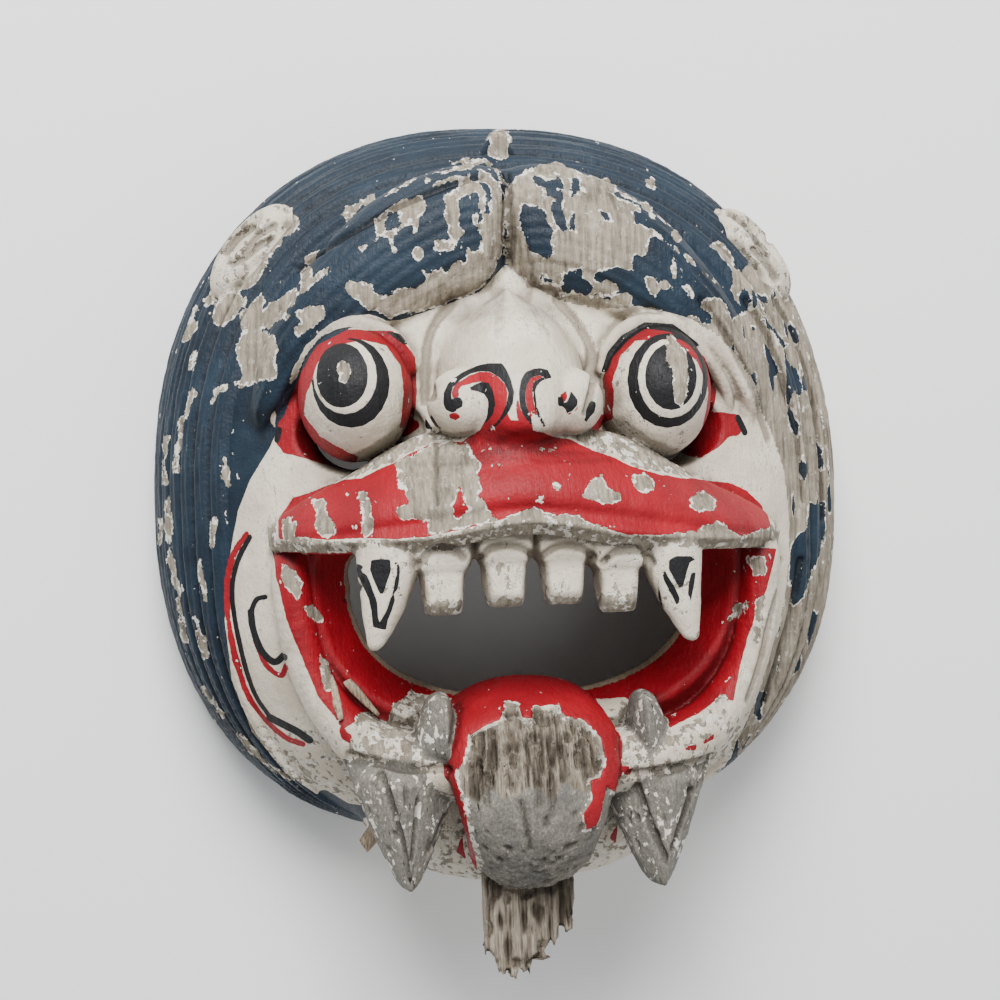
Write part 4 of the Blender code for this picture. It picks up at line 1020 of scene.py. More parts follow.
HAIR_KEPT = [
    [(2, 61.1), (3, 61.4), (4.2, 60.7), (6.3, 61.2), (7, 59.1), (7.9, 56.2), (8.7, 54.9), (8, 52.7),
     (9, 50.8), (9.2, 50), (7.6, 49.5), (6, 50.4), (4, 51.3), (2.8, 53.6), (2.3, 56.7)],
    [(8.6, 61.2), (10.2, 61.2), (10.5, 59), (11.7, 57.3), (11.6, 55.5), (10.6, 55.5), (9.6, 57.4),
     (8.7, 59.5)],
    [(12.4, 58.5), (13.5, 59.4), (14, 58.5), (13.7, 56), (13, 54.6), (12.2, 55.2), (12.1, 57.1)],
    [(5.8, 66.7), (6.9, 67.1), (7.8, 66.1), (9.5, 66.1), (10.3, 67), (11.2, 66.6), (11.7, 65),
     (11.1, 63.8), (10.4, 65), (9.9, 64), (11, 62.9), (10.9, 62), (7.4, 62.1), (7.5, 63.8), (7.3, 65.3),
     (6.1, 65.5)],
    [(13.3, 66.9), (15.1, 67), (15.6, 65.4), (15.2, 63.8), (13.9, 62.6), (12.8, 62.2), (12.9, 64)],
    [(10.8, 46.2), (12.6, 46.7), (14.2, 47.1), (14.1, 45.3), (15.9, 44.4), (17.2, 43.6), (16.9, 42.4),
     (15.5, 42.1), (14, 42.8), (13, 43.6), (12.1, 42.9), (10.5, 43.2)],
    [(5.1, 46.3), (6.5, 46.6), (7.2, 46), (8.6, 45.6), (9.5, 44), (8.7, 44), (7.4, 45), (6.2, 45.5)],
    [(19.1, 58.7), (19.9, 58.5), (20.3, 57.4), (19.5, 57.6)],
    [(15.3, 58.7), (16.1, 58.5), (16.1, 57.4), (15.4, 57.6)],
    [(52.4, 45.2), (53.6, 44.5), (54.4, 41.9), (54.7, 39.8), (53.4, 39.2), (52.2, 41.9)],
    [(57, 39.2), (58.3, 38.4), (59.6, 36.4), (62.1, 34.4), (63.4, 32.1), (62.1, 31.5), (60.6, 33),
     (58.4, 35.6), (57.1, 37.9)],
    [(55.4, 43.7), (57.5, 43.8), (59.1, 42.7), (59.7, 41.3), (58.5, 41.8), (56.2, 42.4)],
    [(57.4, 31.9), (58.8, 30.9), (59.7, 28.7), (60.6, 26), (59.7, 25.3), (58.4, 26.8), (57.6, 29.2)],
    [(63.3, 28), (65.1, 28.3), (65.5, 26.1), (66.4, 23.9), (67, 22.1), (66.7, 20.3), (65, 21.8),
     (63.8, 24.6)],
    [(62.5, 18.7), (63.4, 17.1), (63.8, 14.9), (64.5, 12), (64.7, 10.5), (63.9, 12.3), (62.9, 14.5)],
    [(71.2, 12.1), (71.7, 9.9), (72.1, 7.6), (72.4, 4.7), (71.6, 5.1), (70.4, 8.3)],
    [(67.6, -3.1), (71.9, -3), (72.2, -7), (71.6, -12.7), (68, -18), (64.7, -24.4), (62.7, -25.5),
     (61.4, -19.8), (61.3, -12.1), (63.4, -10), (65.6, -7.9)],
    [(65.9, 37), (67, 35.9), (67.8, 33.1), (66.8, 33.2), (64.4, 34.5)],
    [(76.7, 33.8), (78.1, 33), (78.8, 30.7), (77.3, 30.7)],
    [(45.1, 29.3), (46.8, 29.6), (47.8, 28.3), (46.7, 27.2), (46.2, 26.2), (45.2, 27.7)],
    [(49.7, 19.6), (50.7, 18.9), (52.1, 17), (51.3, 17), (50.1, 18.3)],
    [(78.2, 26.7), (79.1, 25.5), (79.5, 22.6), (78.5, 23.6)],
    [(53.9, 36.2), (55.2, 35.8), (54.8, 34.9), (53.8, 35.1)],
    [(65.4, 7.6), (66.2, 4.3), (65.5, 2.1), (65, 4.7)],
    [(54.1, -44), (57.7, -44.6), (56.3, -51), (54.4, -49.3)],
]
HAIR_RUBBED = [
    (2.63, [(-57.9, 45.2), (-59.5, 42.6)]),
    (2.0, [(0.9, 79), (0.9, 76.5)]),
    (0.67, [(-73.1, 2.5), (-74.1, -10.7)]),
    (0.66, [(-69.6, 19.8), (-71.3, 9)]),
    (0.67, [(-67.6, 30.7), (-66.1, 35)]),
    (0.79, [(-73.9, 15.9), (-74.6, 7)]),
    (0.65, [(-66.5, -10.6), (-65.6, -19.2)]),
    (0.68, [(-72.2, -19.6), (-70.8, -28.6)]),
    (0.78, [(-73.2, -10.7), (-71.9, -17.2)]),
    (0.64, [(-60.3, 10.5), (-59.9, 5.2)]),
    (0.64, [(-63.1, -2.1), (-63.7, -7.4)]),
    (0.77, [(-68, -23.7), (-66.4, -31.4)]),
    (0.68, [(-59.6, -49.9), (-55, -55.8), (-49, -59.9)]),
    (0.68, [(-67.1, -40.1), (-63.5, -45.5)]),
    (0.68, [(-68.2, 40.1), (-66.1, 44.4)]),
    (0.69, [(-75.9, -1.8), (-76.1, -7.4)]),
    (0.34, [(29.3, 55.1), (31.4, 53.5), (34, 51.8), (36.6, 50), (39.5, 47.5), (42.9, 45.1),
     (48.3, 43.7), (51.2, 41.1), (54.2, 37.8)]),
    (0.28, [(30.5, 58.7), (32.9, 58), (35.1, 56.7), (39, 57), (40.3, 56.6)]),
    (0.25, [(33.5, 50.8), (33.8, 48.3), (34.1, 45.3)]),
    (0.31, [(-25.2, 54.7), (-23.7, 55.9), (-21.2, 57.5), (-20.4, 57.4)]),
    (0.27, [(-24.8, 54.7), (-24.1, 51.7)]),
    (0.25, [(-19.4, 57.4), (-19.7, 55.3)]),
    (0.3, [(-3.7, 74.2), (-1.7, 73.3), (-1.7, 68.9), (-0.7, 66.2)]),
    (0.26, [(-4.4, 74.2), (-8.8, 73.3), (-13.6, 69.2), (-16.8, 68.3), (-20.4, 66.8), (-23.2, 65.1),
     (-25.3, 63.8)]),
    (0.27, [(-7.7, 67.4), (-10.9, 66.9), (-14.1, 66.1), (-16.2, 64.8)]),
    (0.25, [(-30.7, 52.4), (-29.1, 53.4), (-27.4, 54.1)]),
    (0.25, [(-8.2, 62.7), (-7.5, 59.8), (-7.2, 57.3)]),
    (0.34, [(23.2, 64.2), (25.7, 62.9), (28.6, 61)]),
    (0.21, [(11, 66.6), (11.9, 63.8), (11.8, 62)]),
]
HAIR_LEFT_ON = [
    (0.86, [(51.7, -23), (50, -31.5)]),
    (1.07, [(49.8, -27.2), (48.3, -33.5)]),
]
RIM_LINE = [
    (1.58, [(-41.4, -64), (-37.1, -67.1), (-33.6, -67.2)]),
]

blue = np.maximum(-in_outlines(FACE, points, 8.0), on_strokes(RIM_LINE, points))
blue = np.minimum(blue, (away_from("lid") - 0.3) * 3)
hair_worn = np.maximum(in_outlines(HAIR_WORN, points, 4.0), on_strokes(HAIR_RUBBED, points, 4.0))
hair_kept = np.maximum(in_outlines(HAIR_KEPT, points), on_strokes(HAIR_LEFT_ON, points))
right_side = smooth(50, 62, points[:, 0]) * smooth(-70, -20, points[:, 1])
hair_worn = np.where(right_side > 0.5, np.maximum(hair_worn, 1.2), hair_worn)
streaks = noise(points * (1 / 1.4, 1 / 9.0, 1 / 4.0), 1.0, 9)
streaks = np.where((points[:, 0] > 46) & (points[:, 1] < 55), streaks, -1.0)
hair_worn = np.min([hair_worn, -hair_kept, (0.62 - streaks) * 4, (ear_gap - 0.8) * 3], axis=0)


# Red of the mouth, the lips, the tongue, the eyes and the curls of the nose: bright paint, nearly
# matt, brushed over the white ground and chipped through to the wood on the upper lip.

LIP_RED = [
    [(-49.8, -6.6), (-49.7, -2.5), (-46.4, 1.9), (-41.5, 3.4), (-36.3, 5.2), (-33.1, 5.4), (-29.7, 6.9),
     (-26.5, 8.1), (-23.1, 10), (-18.5, 11.8), (-12.7, 12), (-9.5, 13.9), (-7.9, 17.1), (-6, 18.5),
     (-3.5, 17.8), (-0.4, 16.7), (0.2, 13.4), (5, 12.1), (9.3, 11.5), (13.2, 9.3), (17.2, 7.8),
     (21.2, 5.7), (25.5, 4.4), (31.2, 3.4), (38, 2.7), (45.4, 2.1), (50.2, 0.3), (54.2, -3.5),
     (53.6, -6.9), (53.6, -9.2), (44.1, -9.5), (32.5, -7.9), (25.2, -8), (18.3, -7.7), (13.3, -6.2),
     (8.7, -4.6), (2.2, -3.4), (-1.7, -2.5), (-7, -3.9), (-14.8, -5.5), (-21.1, -6.7), (-27.6, -6.9),
     (-33.8, -6.5), (-40.2, -6.7), (-46, -6)],
]
LIP_NOTCH = [
    [(-5, 17.8), (-4.1, 15.5), (-2.6, 15.4), (-1.8, 17.7), (-3.2, 18.7)],
]
LIP_WORN = [
    [(-26.5, 8.1), (-23.1, 10), (-18.5, 11.8), (-11.9, 12.1), (-11.1, 9.4), (-9.6, 7.4), (-10.7, 0.7),
     (-9.4, -1.3), (-7.5, -3.3), (-7.1, -4.3), (-12.2, -4.7), (-21.1, -6.7), (-19.9, -3.4),
     (-22.8, -2.7), (-26, -2.6), (-27.3, -1.2), (-24.6, 0), (-24.4, 2.6), (-25.9, 4.7), (-25.3, 6.6)],
    [(-43, 1.8), (-40.5, 1.2), (-38.8, -2.2), (-38.2, -5.4), (-40.1, -6.3), (-42.4, -5.3),
     (-42.2, -1.3)],
    [(-33.3, 3), (-31.8, 2.3), (-31.7, -1.1), (-31.5, -5.6), (-32.9, -6.3), (-33.2, -1.6)],
    [(-48.7, -2.5), (-46.8, -2), (-46.3, -4), (-46.8, -6.6), (-48.8, -6.6)],
    [(10.9, 2.9), (14.4, 4.6), (14.8, 1.8), (17.8, 0.5), (17.2, -0.8), (14.4, -1.3), (9.3, 0),
     (10.7, 1.4)],
    [(20.1, 3.7), (23.2, 4.4), (25.4, 2.3), (24.7, 0.9), (21.7, 0.4), (20.1, 1.5)],
    [(33, -0.7), (36.9, 0.6), (39.7, -1.6), (37.9, -3.5), (34.5, -4), (32.4, -2.7)],
    [(-7, -3.9), (-4.4, -2.4), (-0.5, -1.6), (2.8, -2.9), (8.9, -3.5), (14.1, -6), (15.4, -7.2),
     (11.2, -6.1), (2.1, -3.8), (-1.9, -4.4), (-6.5, -5.3)],
    [(38.4, -5.6), (44.1, -9.3), (54.4, -7.7), (54.3, -11.1), (41.3, -11.2), (28.1, -9.2), (25.2, -8.4),
     (32.5, -7.7)],
    [(1.2, 10.4), (5.4, 9.9), (5.2, 8.9), (1.6, 9.4)],
    [(-7.5, 7.5), (-5.8, 7.8), (-5.9, 6.2), (-7.3, 6.3)],
    [(3.7, 2.8), (5.5, 2.3), (4.7, 1.2), (3.4, 1.6)],
    [(-25.6, 3.4), (-23.3, 3.7), (-23.8, 2.2)],
    [(34.3, -10.4), (31.7, -9.3), (28.7, -10.2), (30.4, -11.6)],
]
LIP_KEPT = [
    [(-15.5, -3), (-15.9, -1), (-14.3, 2.6), (-13.9, 0.8), (-13, -1.7), (-14.2, -3)],
    [(-25.7, 7.1), (-23, 6.5), (-23.5, 5.8), (-25.4, 5.8)],
]
MOUTH_RED = [
    [(-51.1, -8.3), (-50.3, -14.9), (-48.6, -23.1), (-46.1, -30.4), (-42.8, -38.8), (-37.9, -45.8),
     (-35.4, -44.6), (-32.8, -44), (-27.8, -45.9), (-27.2, -42.5), (-23.1, -40.3), (-12.7, -42.3),
     (-10.8, -43.1), (20.8, -43.4), (22.8, -43.2), (25.7, -45.4), (29.8, -48.7), (32.2, -47.9),
     (36.8, -46.2), (41.5, -43.1), (44, -43.8), (47.9, -31.4), (50.2, -25.1), (52, -20.9), (53.7, -15.7),
     (55.2, -12.2)],
]
MOUTH_WORN = [
    [(-49.5, -10.8), (-47.2, -12.9), (-45, -15.6), (-45.8, -19.1), (-48.3, -16.3)],
    [(-45.2, -20.6), (-43.1, -20), (-41.1, -23.7), (-43.8, -23.4)],
    [(49.3, -13.9), (51.6, -14.6), (52.3, -17.4), (49.6, -18.1)],
    [(47.2, -23.8), (48.9, -23), (47.7, -26.7), (45.1, -27.4)],
    [(-42.4, -30.7), (-40.3, -32.1), (-39.2, -38.1), (-41.1, -37.9)],
    [(50.1, -23), (51.9, -22.2), (51.2, -31.6), (48.7, -33.5)],
    [(-28.1, -46.2), (-27.2, -42.5), (-23.1, -40.3), (-12.7, -42.3), (-14.7, -43), (-17.2, -50.1),
     (-18.1, -53), (-33.3, -51.6), (-36.6, -49.5), (-35.3, -43.7), (-32.6, -43.4)],
    [(21.8, -43.4), (25.6, -45.8), (29.7, -49.1), (36.6, -46.9), (42.1, -43.1), (42.5, -46.4),
     (38.8, -51), (29, -52.8), (22.6, -56.7), (20.3, -55.7), (19.4, -49.3)],
]
RED_SPOTS = [
    [(-32.2, -49.3), (-30.2, -49.3), (-30.3, -50.9), (-32.3, -50.7)],
    [(-25.7, -48.8), (-24.5, -49.2), (-24.8, -50.5), (-26, -50.2)],
    [(-26.3, -51.5), (-23.8, -52.6), (-24, -53.9), (-26, -52.9)],
    [(28.3, -50.3), (30.2, -50.5), (29.7, -51.7), (28.5, -51.4)],
    [(32.3, -52), (35, -52.1), (34.7, -53.3), (32.4, -53)],
    [(36.5, -50.8), (39.3, -50.2), (39, -51.6), (36.6, -52.2)],
    [(19, -55.2), (21.2, -56), (20.4, -57.5), (19, -57.1)],
    [(-38.9, -45.4), (-36.2, -47.1), (-36.2, -49.1), (-38.2, -47.7)],
    [(-14, -75.6), (-12.9, -71.5), (-11.8, -77.6)],
    [(19.6, -74.3), (21.1, -71.4), (21.2, -76.3)],
]
EYE_RED = [
    [(-34.4, 35.6), (-25, 35.3), (-20.4, 30.1), (-20.3, 23.3), (-21.1, 16.5), (-24.4, 15.3),
     (-23.6, 22.5), (-24.1, 28), (-26.8, 32.1), (-31.7, 33.1), (-36.2, 32.1), (-40.6, 28.9),
     (-43.2, 22.5), (-43.7, 18.7), (-40.7, 14), (-34.3, 10.2), (-32.5, 9.6), (-41, 9.2), (-48.2, 11.3),
     (-49.7, 14.8), (-47.5, 19.2), (-44.2, 27.1), (-40.4, 32.8)],
]
EYE_RED_OTHER = [
    [(18.4, 15.5), (18, 24.2), (19.9, 30.2), (24.6, 34.2), (32.6, 34.9), (40.4, 28.3), (43.8, 21.8),
     (43.1, 17.2), (49.3, 16.4), (49.7, 14.3), (43.6, 9.6), (39.5, 7.4), (39.3, 9.8), (38.3, 15),
     (38.9, 21.1), (36.3, 26.8), (30.5, 31.4), (24.3, 31.6), (21.1, 28.5), (19.3, 23.4), (19.4, 15.7)],
]
NOSE_RED = [
    [(-15, 20.5), (-15, 21.9), (-14.1, 23.1), (-12.6, 24), (-11.1, 24.8), (-9.2, 25.4), (-7.4, 25.1),
     (-5.9, 23.9), (-4.9, 22.6), (-4.4, 20.8), (-4.9, 18.4), (-6.1, 16), (-7.5, 14.3), (-8.8, 13.1),
     (-11.4, 11.9), (-9.2, 14.3), (-8.2, 15.6), (-7.3, 16.8), (-6.9, 18.6), (-7, 20.1), (-7.3, 21.7),
     (-7.9, 23), (-9.2, 23.5), (-10.5, 23.2), (-11.8, 22.8), (-13, 22.6), (-13.8, 21.8), (-13.7, 20.6),
     (-14.5, 20.1)],
    [(-16, 17.4), (-14.4, 17.3), (-13.2, 16.7), (-13.8, 16.4), (-14.5, 16), (-15.5, 16.4)],
    [(-0.7, 22.2), (0.2, 23.6), (1.7, 24.1), (3.1, 23.8), (2, 23.5), (0.7, 22.6), (0.2, 21.2),
     (0.3, 19.8), (0.6, 17.6), (1.6, 15.3), (0.6, 16.5), (-0.6, 16.9), (-1.1, 18.3), (-1.2, 20.2)],
    [(6.4, 20.2), (7.5, 21), (7.6, 19.8), (7.2, 18.8), (6.7, 18.6), (6.1, 19.4)],
    [(9.6, 18), (10, 18.8), (9.8, 17.4), (8.8, 16.5), (7.4, 15.9), (7.4, 16.5), (8.6, 17)],
    [(-2.6, 19.7), (-2.3, 17.7), (-1.4, 15.5), (-3, 15.6), (-3.1, 18.3)],
]
CORNER_RED = [
    (1.89, [(-44.5, 14.6), (-47.7, 14)]),
    (1.46, [(-44.5, 14.6), (-40.9, 10.8), (-34.6, 8.9)]),
    (1.04, [(-48, 17.2), (-44.4, 20.8)]),
    (1.73, [(43.2, 13.4), (47.9, 13.6)]),
    (1.08, [(40.8, 10.3), (38.8, 8.9)]),
    (1.25, [(15.8, 14.3), (17.6, 15.9)]),
    (1.05, [(-22.8, 15), (-20.9, 16.2)]),
]
CHEEK_RED = [
    (0.65, [(-56.4, -5.3), (-59.4, -9.9), (-60.9, -17.5), (-60.5, -27), (-57.8, -38.9), (-54.1, -45.2),
     (-49.8, -49.4), (-46, -50.9)]),
    (0.56, [(-55.4, -27.8), (-53.2, -33.2), (-50.2, -35.5), (-49.1, -33.3)]),
]

tooth_gap, fang_gap = away_from("tooth"), away_from("fang")
stump_gap = away_from("stump")
ball_gap = away_from("eyeball")
off_teeth = (np.minimum(tooth_gap, fang_gap) - 0.45) * 4
lip_red = np.minimum(in_outlines(LIP_RED, points), -in_outlines(LIP_NOTCH, points))
mouth_red = np.minimum(in_outlines(MOUTH_RED, points), np.minimum(off_teeth, (stump_gap - 0.4) * 4))
mouth_red = np.minimum(mouth_red, (lip_gap - 0.4) * 4)
mouth_red = np.minimum(mouth_red, (tongue_gap - 0.3) * 4)
tongue_red = np.minimum((0.8 - tongue_gap) * 4, -in_outlines(TORN_TONGUE, points))
under_lip = np.minimum((0.8 - lip_gap) * 4, in_outlines(MOUTH_RED, points))
under_lip = np.minimum(under_lip, (-normals[:, 1] - 0.75) * 8)
eye_red = np.maximum(in_outlines(EYE_RED + EYE_RED_OTHER, points), on_strokes(CORNER_RED, points))
red = np.max([lip_red, mouth_red, tongue_red, under_lip, in_outlines(RED_SPOTS, points)], axis=0)
red = np.max([red, eye_red, in_outlines(NOSE_RED, points), on_strokes(CHEEK_RED, points)], axis=0)
lip_worn = np.minimum(in_outlines(LIP_WORN, points), -in_outlines(LIP_KEPT, points))
lip_worn = np.minimum(lip_worn, (1.2 - lip_gap) * 4)
ring_worn = np.minimum(in_outlines(MOUTH_WORN, points), np.minimum(off_teeth, (tongue_gap - 0.2) * 4))


# Black lines, drawn with a brush: the rings of the eyes, the curls of the nostrils, a crescent on
# the left cheek and the marks on the fangs. A black wedge between the left nostril's wing and the
# eye is painted shade.

PUPILS = [
    [(-31, 25.6), (-31.3, 23.6), (-32.1, 21.8), (-33.3, 20.4), (-34.8, 19.6), (-36.3, 19.3),
     (-37.9, 19.7), (-39.3, 20.7), (-40.3, 22.2), (-41, 24.1), (-41.1, 26.2), (-40.8, 28.2), (-40, 30.1),
     (-38.8, 31.5), (-37.3, 32.3), (-35.7, 32.5), (-34.2, 32.1), (-32.8, 31.1), (-31.8, 29.5),
     (-31.1, 27.6)],
    [(35.8, 23.7), (35.3, 21.5), (34.4, 19.7), (33.1, 18.2), (31.5, 17.2), (29.8, 16.9), (28.1, 17.3),
     (26.7, 18.3), (25.6, 19.9), (24.9, 21.8), (24.8, 23.9), (25.2, 26), (26.2, 27.9), (27.5, 29.4),
     (29.2, 30.4), (31, 30.7), (32.7, 30.4), (34.1, 29.4), (35.2, 27.8), (35.8, 25.9)],
]
PALE_RINGS = [
    [(-29.2, 25.4), (-29.6, 23), (-30.6, 21), (-32, 19.4), (-33.8, 18.4), (-35.8, 18.1), (-37.7, 18.6),
     (-39.4, 19.7), (-40.7, 21.5), (-41.5, 23.7), (-41.7, 26.1), (-41.3, 28.4), (-40.3, 30.5),
     (-38.8, 32.2), (-37, 33.2), (-35.1, 33.4), (-33.1, 32.9), (-31.5, 31.7), (-30.2, 29.9),
     (-29.4, 27.7)],
    [(37.4, 23.5), (36.8, 20.9), (35.6, 18.6), (33.9, 16.8), (31.9, 15.7), (29.8, 15.4), (27.7, 15.8),
     (25.9, 17), (24.5, 18.9), (23.7, 21.1), (23.5, 23.7), (24, 26.2), (25.2, 28.5), (26.8, 30.3),
     (28.9, 31.4), (31.2, 31.9), (33.4, 31.5), (35.4, 30.3), (36.7, 28.4), (37.4, 26.1)],
]
DARK_RINGS = [
    [(-26.6, 24.1), (-27.1, 21.3), (-28.3, 18.8), (-30.1, 16.9), (-32.2, 15.7), (-34.6, 15.4),
     (-37, 15.9), (-39.1, 17.3), (-40.7, 19.3), (-41.7, 21.9), (-42, 24.8), (-41.5, 27.6), (-40.3, 30.1),
     (-38.5, 32), (-36.3, 33.2), (-33.9, 33.6), (-31.5, 33), (-29.4, 31.6), (-27.8, 29.5),
     (-26.8, 26.9)],
    [(39, 23.1), (38.2, 20), (36.6, 17.3), (34.5, 15.1), (32, 13.8), (29.4, 13.4), (26.8, 14),
     (24.6, 15.4), (22.9, 17.6), (21.9, 20.3), (21.6, 23.4), (22.2, 26.4), (23.6, 29), (25.6, 31.2),
     (28.2, 32.6), (30.9, 33), (33.8, 32.6), (36.4, 31.3), (38.4, 29.1), (39.3, 26.3)],
]
EYE_OUTLINES = [
    [(-26.9, 35.3), (-23.5, 34.8), (-21.5, 32.7), (-22.9, 32.4), (-25.1, 34)],
    [(17.8, 25.8), (19.1, 29.8), (22.2, 33.2), (27.2, 35.8), (33.3, 35.4), (39.3, 31), (37.2, 30),
     (31.6, 33.3), (26.9, 34.3), (23.2, 32), (20.2, 28.9), (18.8, 25.6)],
]
EYE_CHIPS = [
    [(-37.8, 27.4), (-36.4, 28.7), (-34.6, 28.2), (-34.6, 25.2), (-35.4, 24), (-36.6, 24.5),
     (-36.3, 26.1)],
]
EYE_CHIPS_OTHER = [
    [(29.8, 31.9), (31.7, 32.6), (31.9, 30.3), (34.5, 29.3), (34.1, 23.9), (32.5, 18.9), (31, 18.3),
     (29.9, 21.9), (29.5, 26)],
]
NOSE_BLACK_AND_SHADE = [
    [(-16.7, 19.4), (-16.5, 21.4), (-15.6, 23.2), (-14.7, 24.1), (-12.8, 25.3), (-10.9, 26.2),
     (-9.1, 26.8), (-7.3, 27), (-5, 26.8), (-4.4, 25.6), (-3.7, 23.3), (-3.3, 20.9), (-3.6, 18.7),
     (-4.6, 16.8), (-6.1, 15), (-7.8, 13.6), (-9, 12.9), (-7.5, 14.3), (-6.1, 16), (-4.9, 18.4),
     (-4.4, 20.8), (-4.9, 22.6), (-5.9, 24), (-7.4, 25.2), (-9.2, 25.5), (-11.1, 25.1), (-13.2, 23.8),
     (-14.7, 22.5), (-15.2, 21.1), (-15.1, 19.9), (-14.5, 20.3), (-13.5, 20.4), (-13, 19.4),
     (-13.2, 18.3), (-14.2, 18.1), (-14.5, 17.4), (-15.7, 17.6), (-16.4, 18.2)],
    [(-11.6, 22.2), (-10.6, 22.7), (-9.2, 23.3), (-7.9, 23), (-7.3, 21.7), (-7, 20.1), (-6.9, 18.6),
     (-7.3, 16.8), (-8.2, 15.6), (-8.9, 14.7), (-8.4, 16.5), (-8.2, 18.1), (-8.1, 19.6), (-8.8, 20.9),
     (-9.9, 21.5), (-11.3, 21.7)],
    [(-2.4, 19.3), (-2.3, 21.2), (-1.8, 23.2), (-0.7, 24.8), (0.8, 25.4), (2.3, 25.6), (3.9, 25.2),
     (4.6, 23.6), (3.7, 23.4), (2.2, 22.9), (1.3, 22), (0.8, 21), (0.9, 19.6), (1, 18), (1.6, 16.3),
     (2.9, 13.9), (2.2, 14.1), (1.2, 15.9), (0.6, 17.6), (0.3, 19.8), (0.2, 21.2), (0.7, 22.6),
     (2, 23.5), (3.1, 23.8), (1.7, 24.1), (0.2, 23.6), (-0.7, 22.2), (-1.2, 20.2), (-1.1, 18.3),
     (-0.6, 16.7), (-0.1, 15.1), (0.6, 13.8), (-0.5, 14.6), (-1.6, 16.1), (-2.3, 17.9)],
    [(8.3, 21.2), (9.2, 20), (9.8, 19), (9.6, 18), (8.6, 17), (7.4, 16.5), (7.4, 17.3), (6.7, 17.9),
     (6, 18), (5.3, 18.2), (5.6, 18.8), (5.4, 19.8), (6.6, 19.8), (7, 18.6), (7.6, 18.8), (8.2, 20)],
    [(13, 19.6), (13.5, 18), (13.5, 16.8), (12.4, 15.8), (11.7, 14.7), (11.2, 15.3), (11.8, 16.8),
     (12.5, 18.4)],
    # Painted shade: the dark gap between the left nostril's wing and the eye, filled with black.
    [(-18.9, 18.7), (-18.9, 17.7), (-18.3, 16.5), (-16.7, 14), (-17.6, 14.7), (-18.9, 15.4)],
]
CHEEK_LINES = [
    (0.56, [(-55.6, -5.9), (-58.3, -10.7), (-59.8, -17.1), (-59.1, -26.3), (-56.4, -38.4),
     (-52.8, -45.1)]),
    (0.91, [(-52.8, -45.1), (-47.4, -47.9), (-44.7, -49.9)]),
    (0.55, [(-52.9, -18.6), (-54.8, -19.2), (-56, -21.8)]),
    (0.77, [(-56, -21.8), (-55.7, -25.2), (-54.2, -29.9), (-51.5, -32.5), (-49.4, -31)]),
]
FANG_BLACK = [
    [(-35.3, -12.6), (-34.4, -11.6), (-33.3, -12), (-33.9, -13), (-32.8, -13.8), (-31.9, -16.3),
     (-31, -19.1), (-30.9, -22.3), (-30.4, -24.1), (-31.9, -24.2), (-32.2, -20.7), (-32.7, -18.3),
     (-33.7, -15.8), (-34.4, -14.2)],
    [(-31.9, -10.9), (-30, -10.7), (-28.3, -11), (-28.1, -12.9), (-29, -15.4), (-29.8, -17.6),
     (-30.4, -17.5), (-31.3, -15.4), (-32.2, -12.8)],
    [(-27.5, -11.2), (-26.7, -11.6), (-26.3, -13), (-26.6, -15), (-26.9, -16.9), (-27.7, -17.7),
     (-27.5, -18.9), (-28.1, -20.8), (-29, -22.7), (-29.4, -24.7), (-31.4, -24.2), (-30.6, -23.1),
     (-29.3, -20.9), (-28.5, -18.8), (-27.8, -16.9), (-27.4, -14.9), (-26.9, -13)],
    [(27.2, -13.1), (28.6, -12.4), (31.7, -12.5), (33.1, -13.2), (31.6, -13.7), (30.9, -15.4),
     (30.2, -17.6), (29.7, -19), (29.1, -18.4), (28, -16.5), (27.2, -14.9)],
    [(26.1, -14.5), (27.2, -16.7), (28.3, -18.5), (29.3, -20.8), (29.1, -22), (28.6, -22.2),
     (28.2, -21.2), (27.2, -19.1), (26.3, -17.3), (25.9, -15.7)],
    [(31.8, -15.9), (33, -15.8), (32.4, -18.3), (31.8, -20.5), (31.6, -21.7), (31, -20.3),
     (31.2, -17.9)],
    [(25.2, -16.7), (25.6, -19.1), (26.3, -22.2), (26.5, -22.9), (25.6, -20.8), (25.1, -18.1)],
]
CORNER_LINES = [
    (0.63, [(-49.3, 14.1), (-48.8, 16.2)]),
    (0.76, [(48.8, 15.8), (50.3, 12.7)]),
    (0.79, [(12.4, 16.8), (13, 18.2)]),
]

rings = np.minimum(in_outlines(DARK_RINGS, points), -in_outlines(PALE_RINGS, points))
eye_black = np.minimum(np.maximum(rings, in_outlines(PUPILS, points)), (1.0 - ball_gap) * 4)
fang_black = np.minimum(in_outlines(FANG_BLACK, points), (0.8 - fang_gap) * 4)
black = np.max([eye_black, fang_black, in_outlines(EYE_OUTLINES + NOSE_BLACK_AND_SHADE, points)], axis=0)
black = np.maximum(black, on_strokes(CHEEK_LINES + CORNER_LINES, points))
eye_worn = in_outlines(EYE_CHIPS + EYE_CHIPS_OTHER, points)


# Bare wood: where all the paint is gone. The patches of each colour are joined, and places where
# the white is only thin and scuffed get a share of wear that the finish breaks up.

lower = smooth(-38, -52, points[:, 1])
lip_band = smooth(0.8, 0.3, lip_gap) * smooth(0.5, -0.8, lip_red)
scuffed = 0.16 + 0.75 * lip_band
scuffed = np.maximum(scuffed, 0.92 * smooth(1.0, 0.3, tuft_gap))
scuffed = np.maximum(scuffed, 0.85 * smooth(0.9, 0.2, stump_gap))
scuffed = np.maximum(scuffed, 0.56 * smooth(1.0, 0.2, ear_gap))
tips = smooth(0.8, 0.2, tooth_gap) * smooth(0.75, 0.85, (GUM - points[:, 1]) / TOOTH_DROP)
enamel = smooth(0.8, 0.2, np.minimum(tooth_gap, fang_gap))
scuffed = np.maximum(scuffed, 0.40 * enamel + 0.5 * tips)
scuffed = np.maximum(scuffed, 0.42 * smooth(0.6, 0.2, ball_gap))
scuffed = np.maximum(scuffed, 0.62 * lower * outside)
scuffed = np.maximum(scuffed, 0.75 * smooth(-0.5, 0.5, ring_worn))
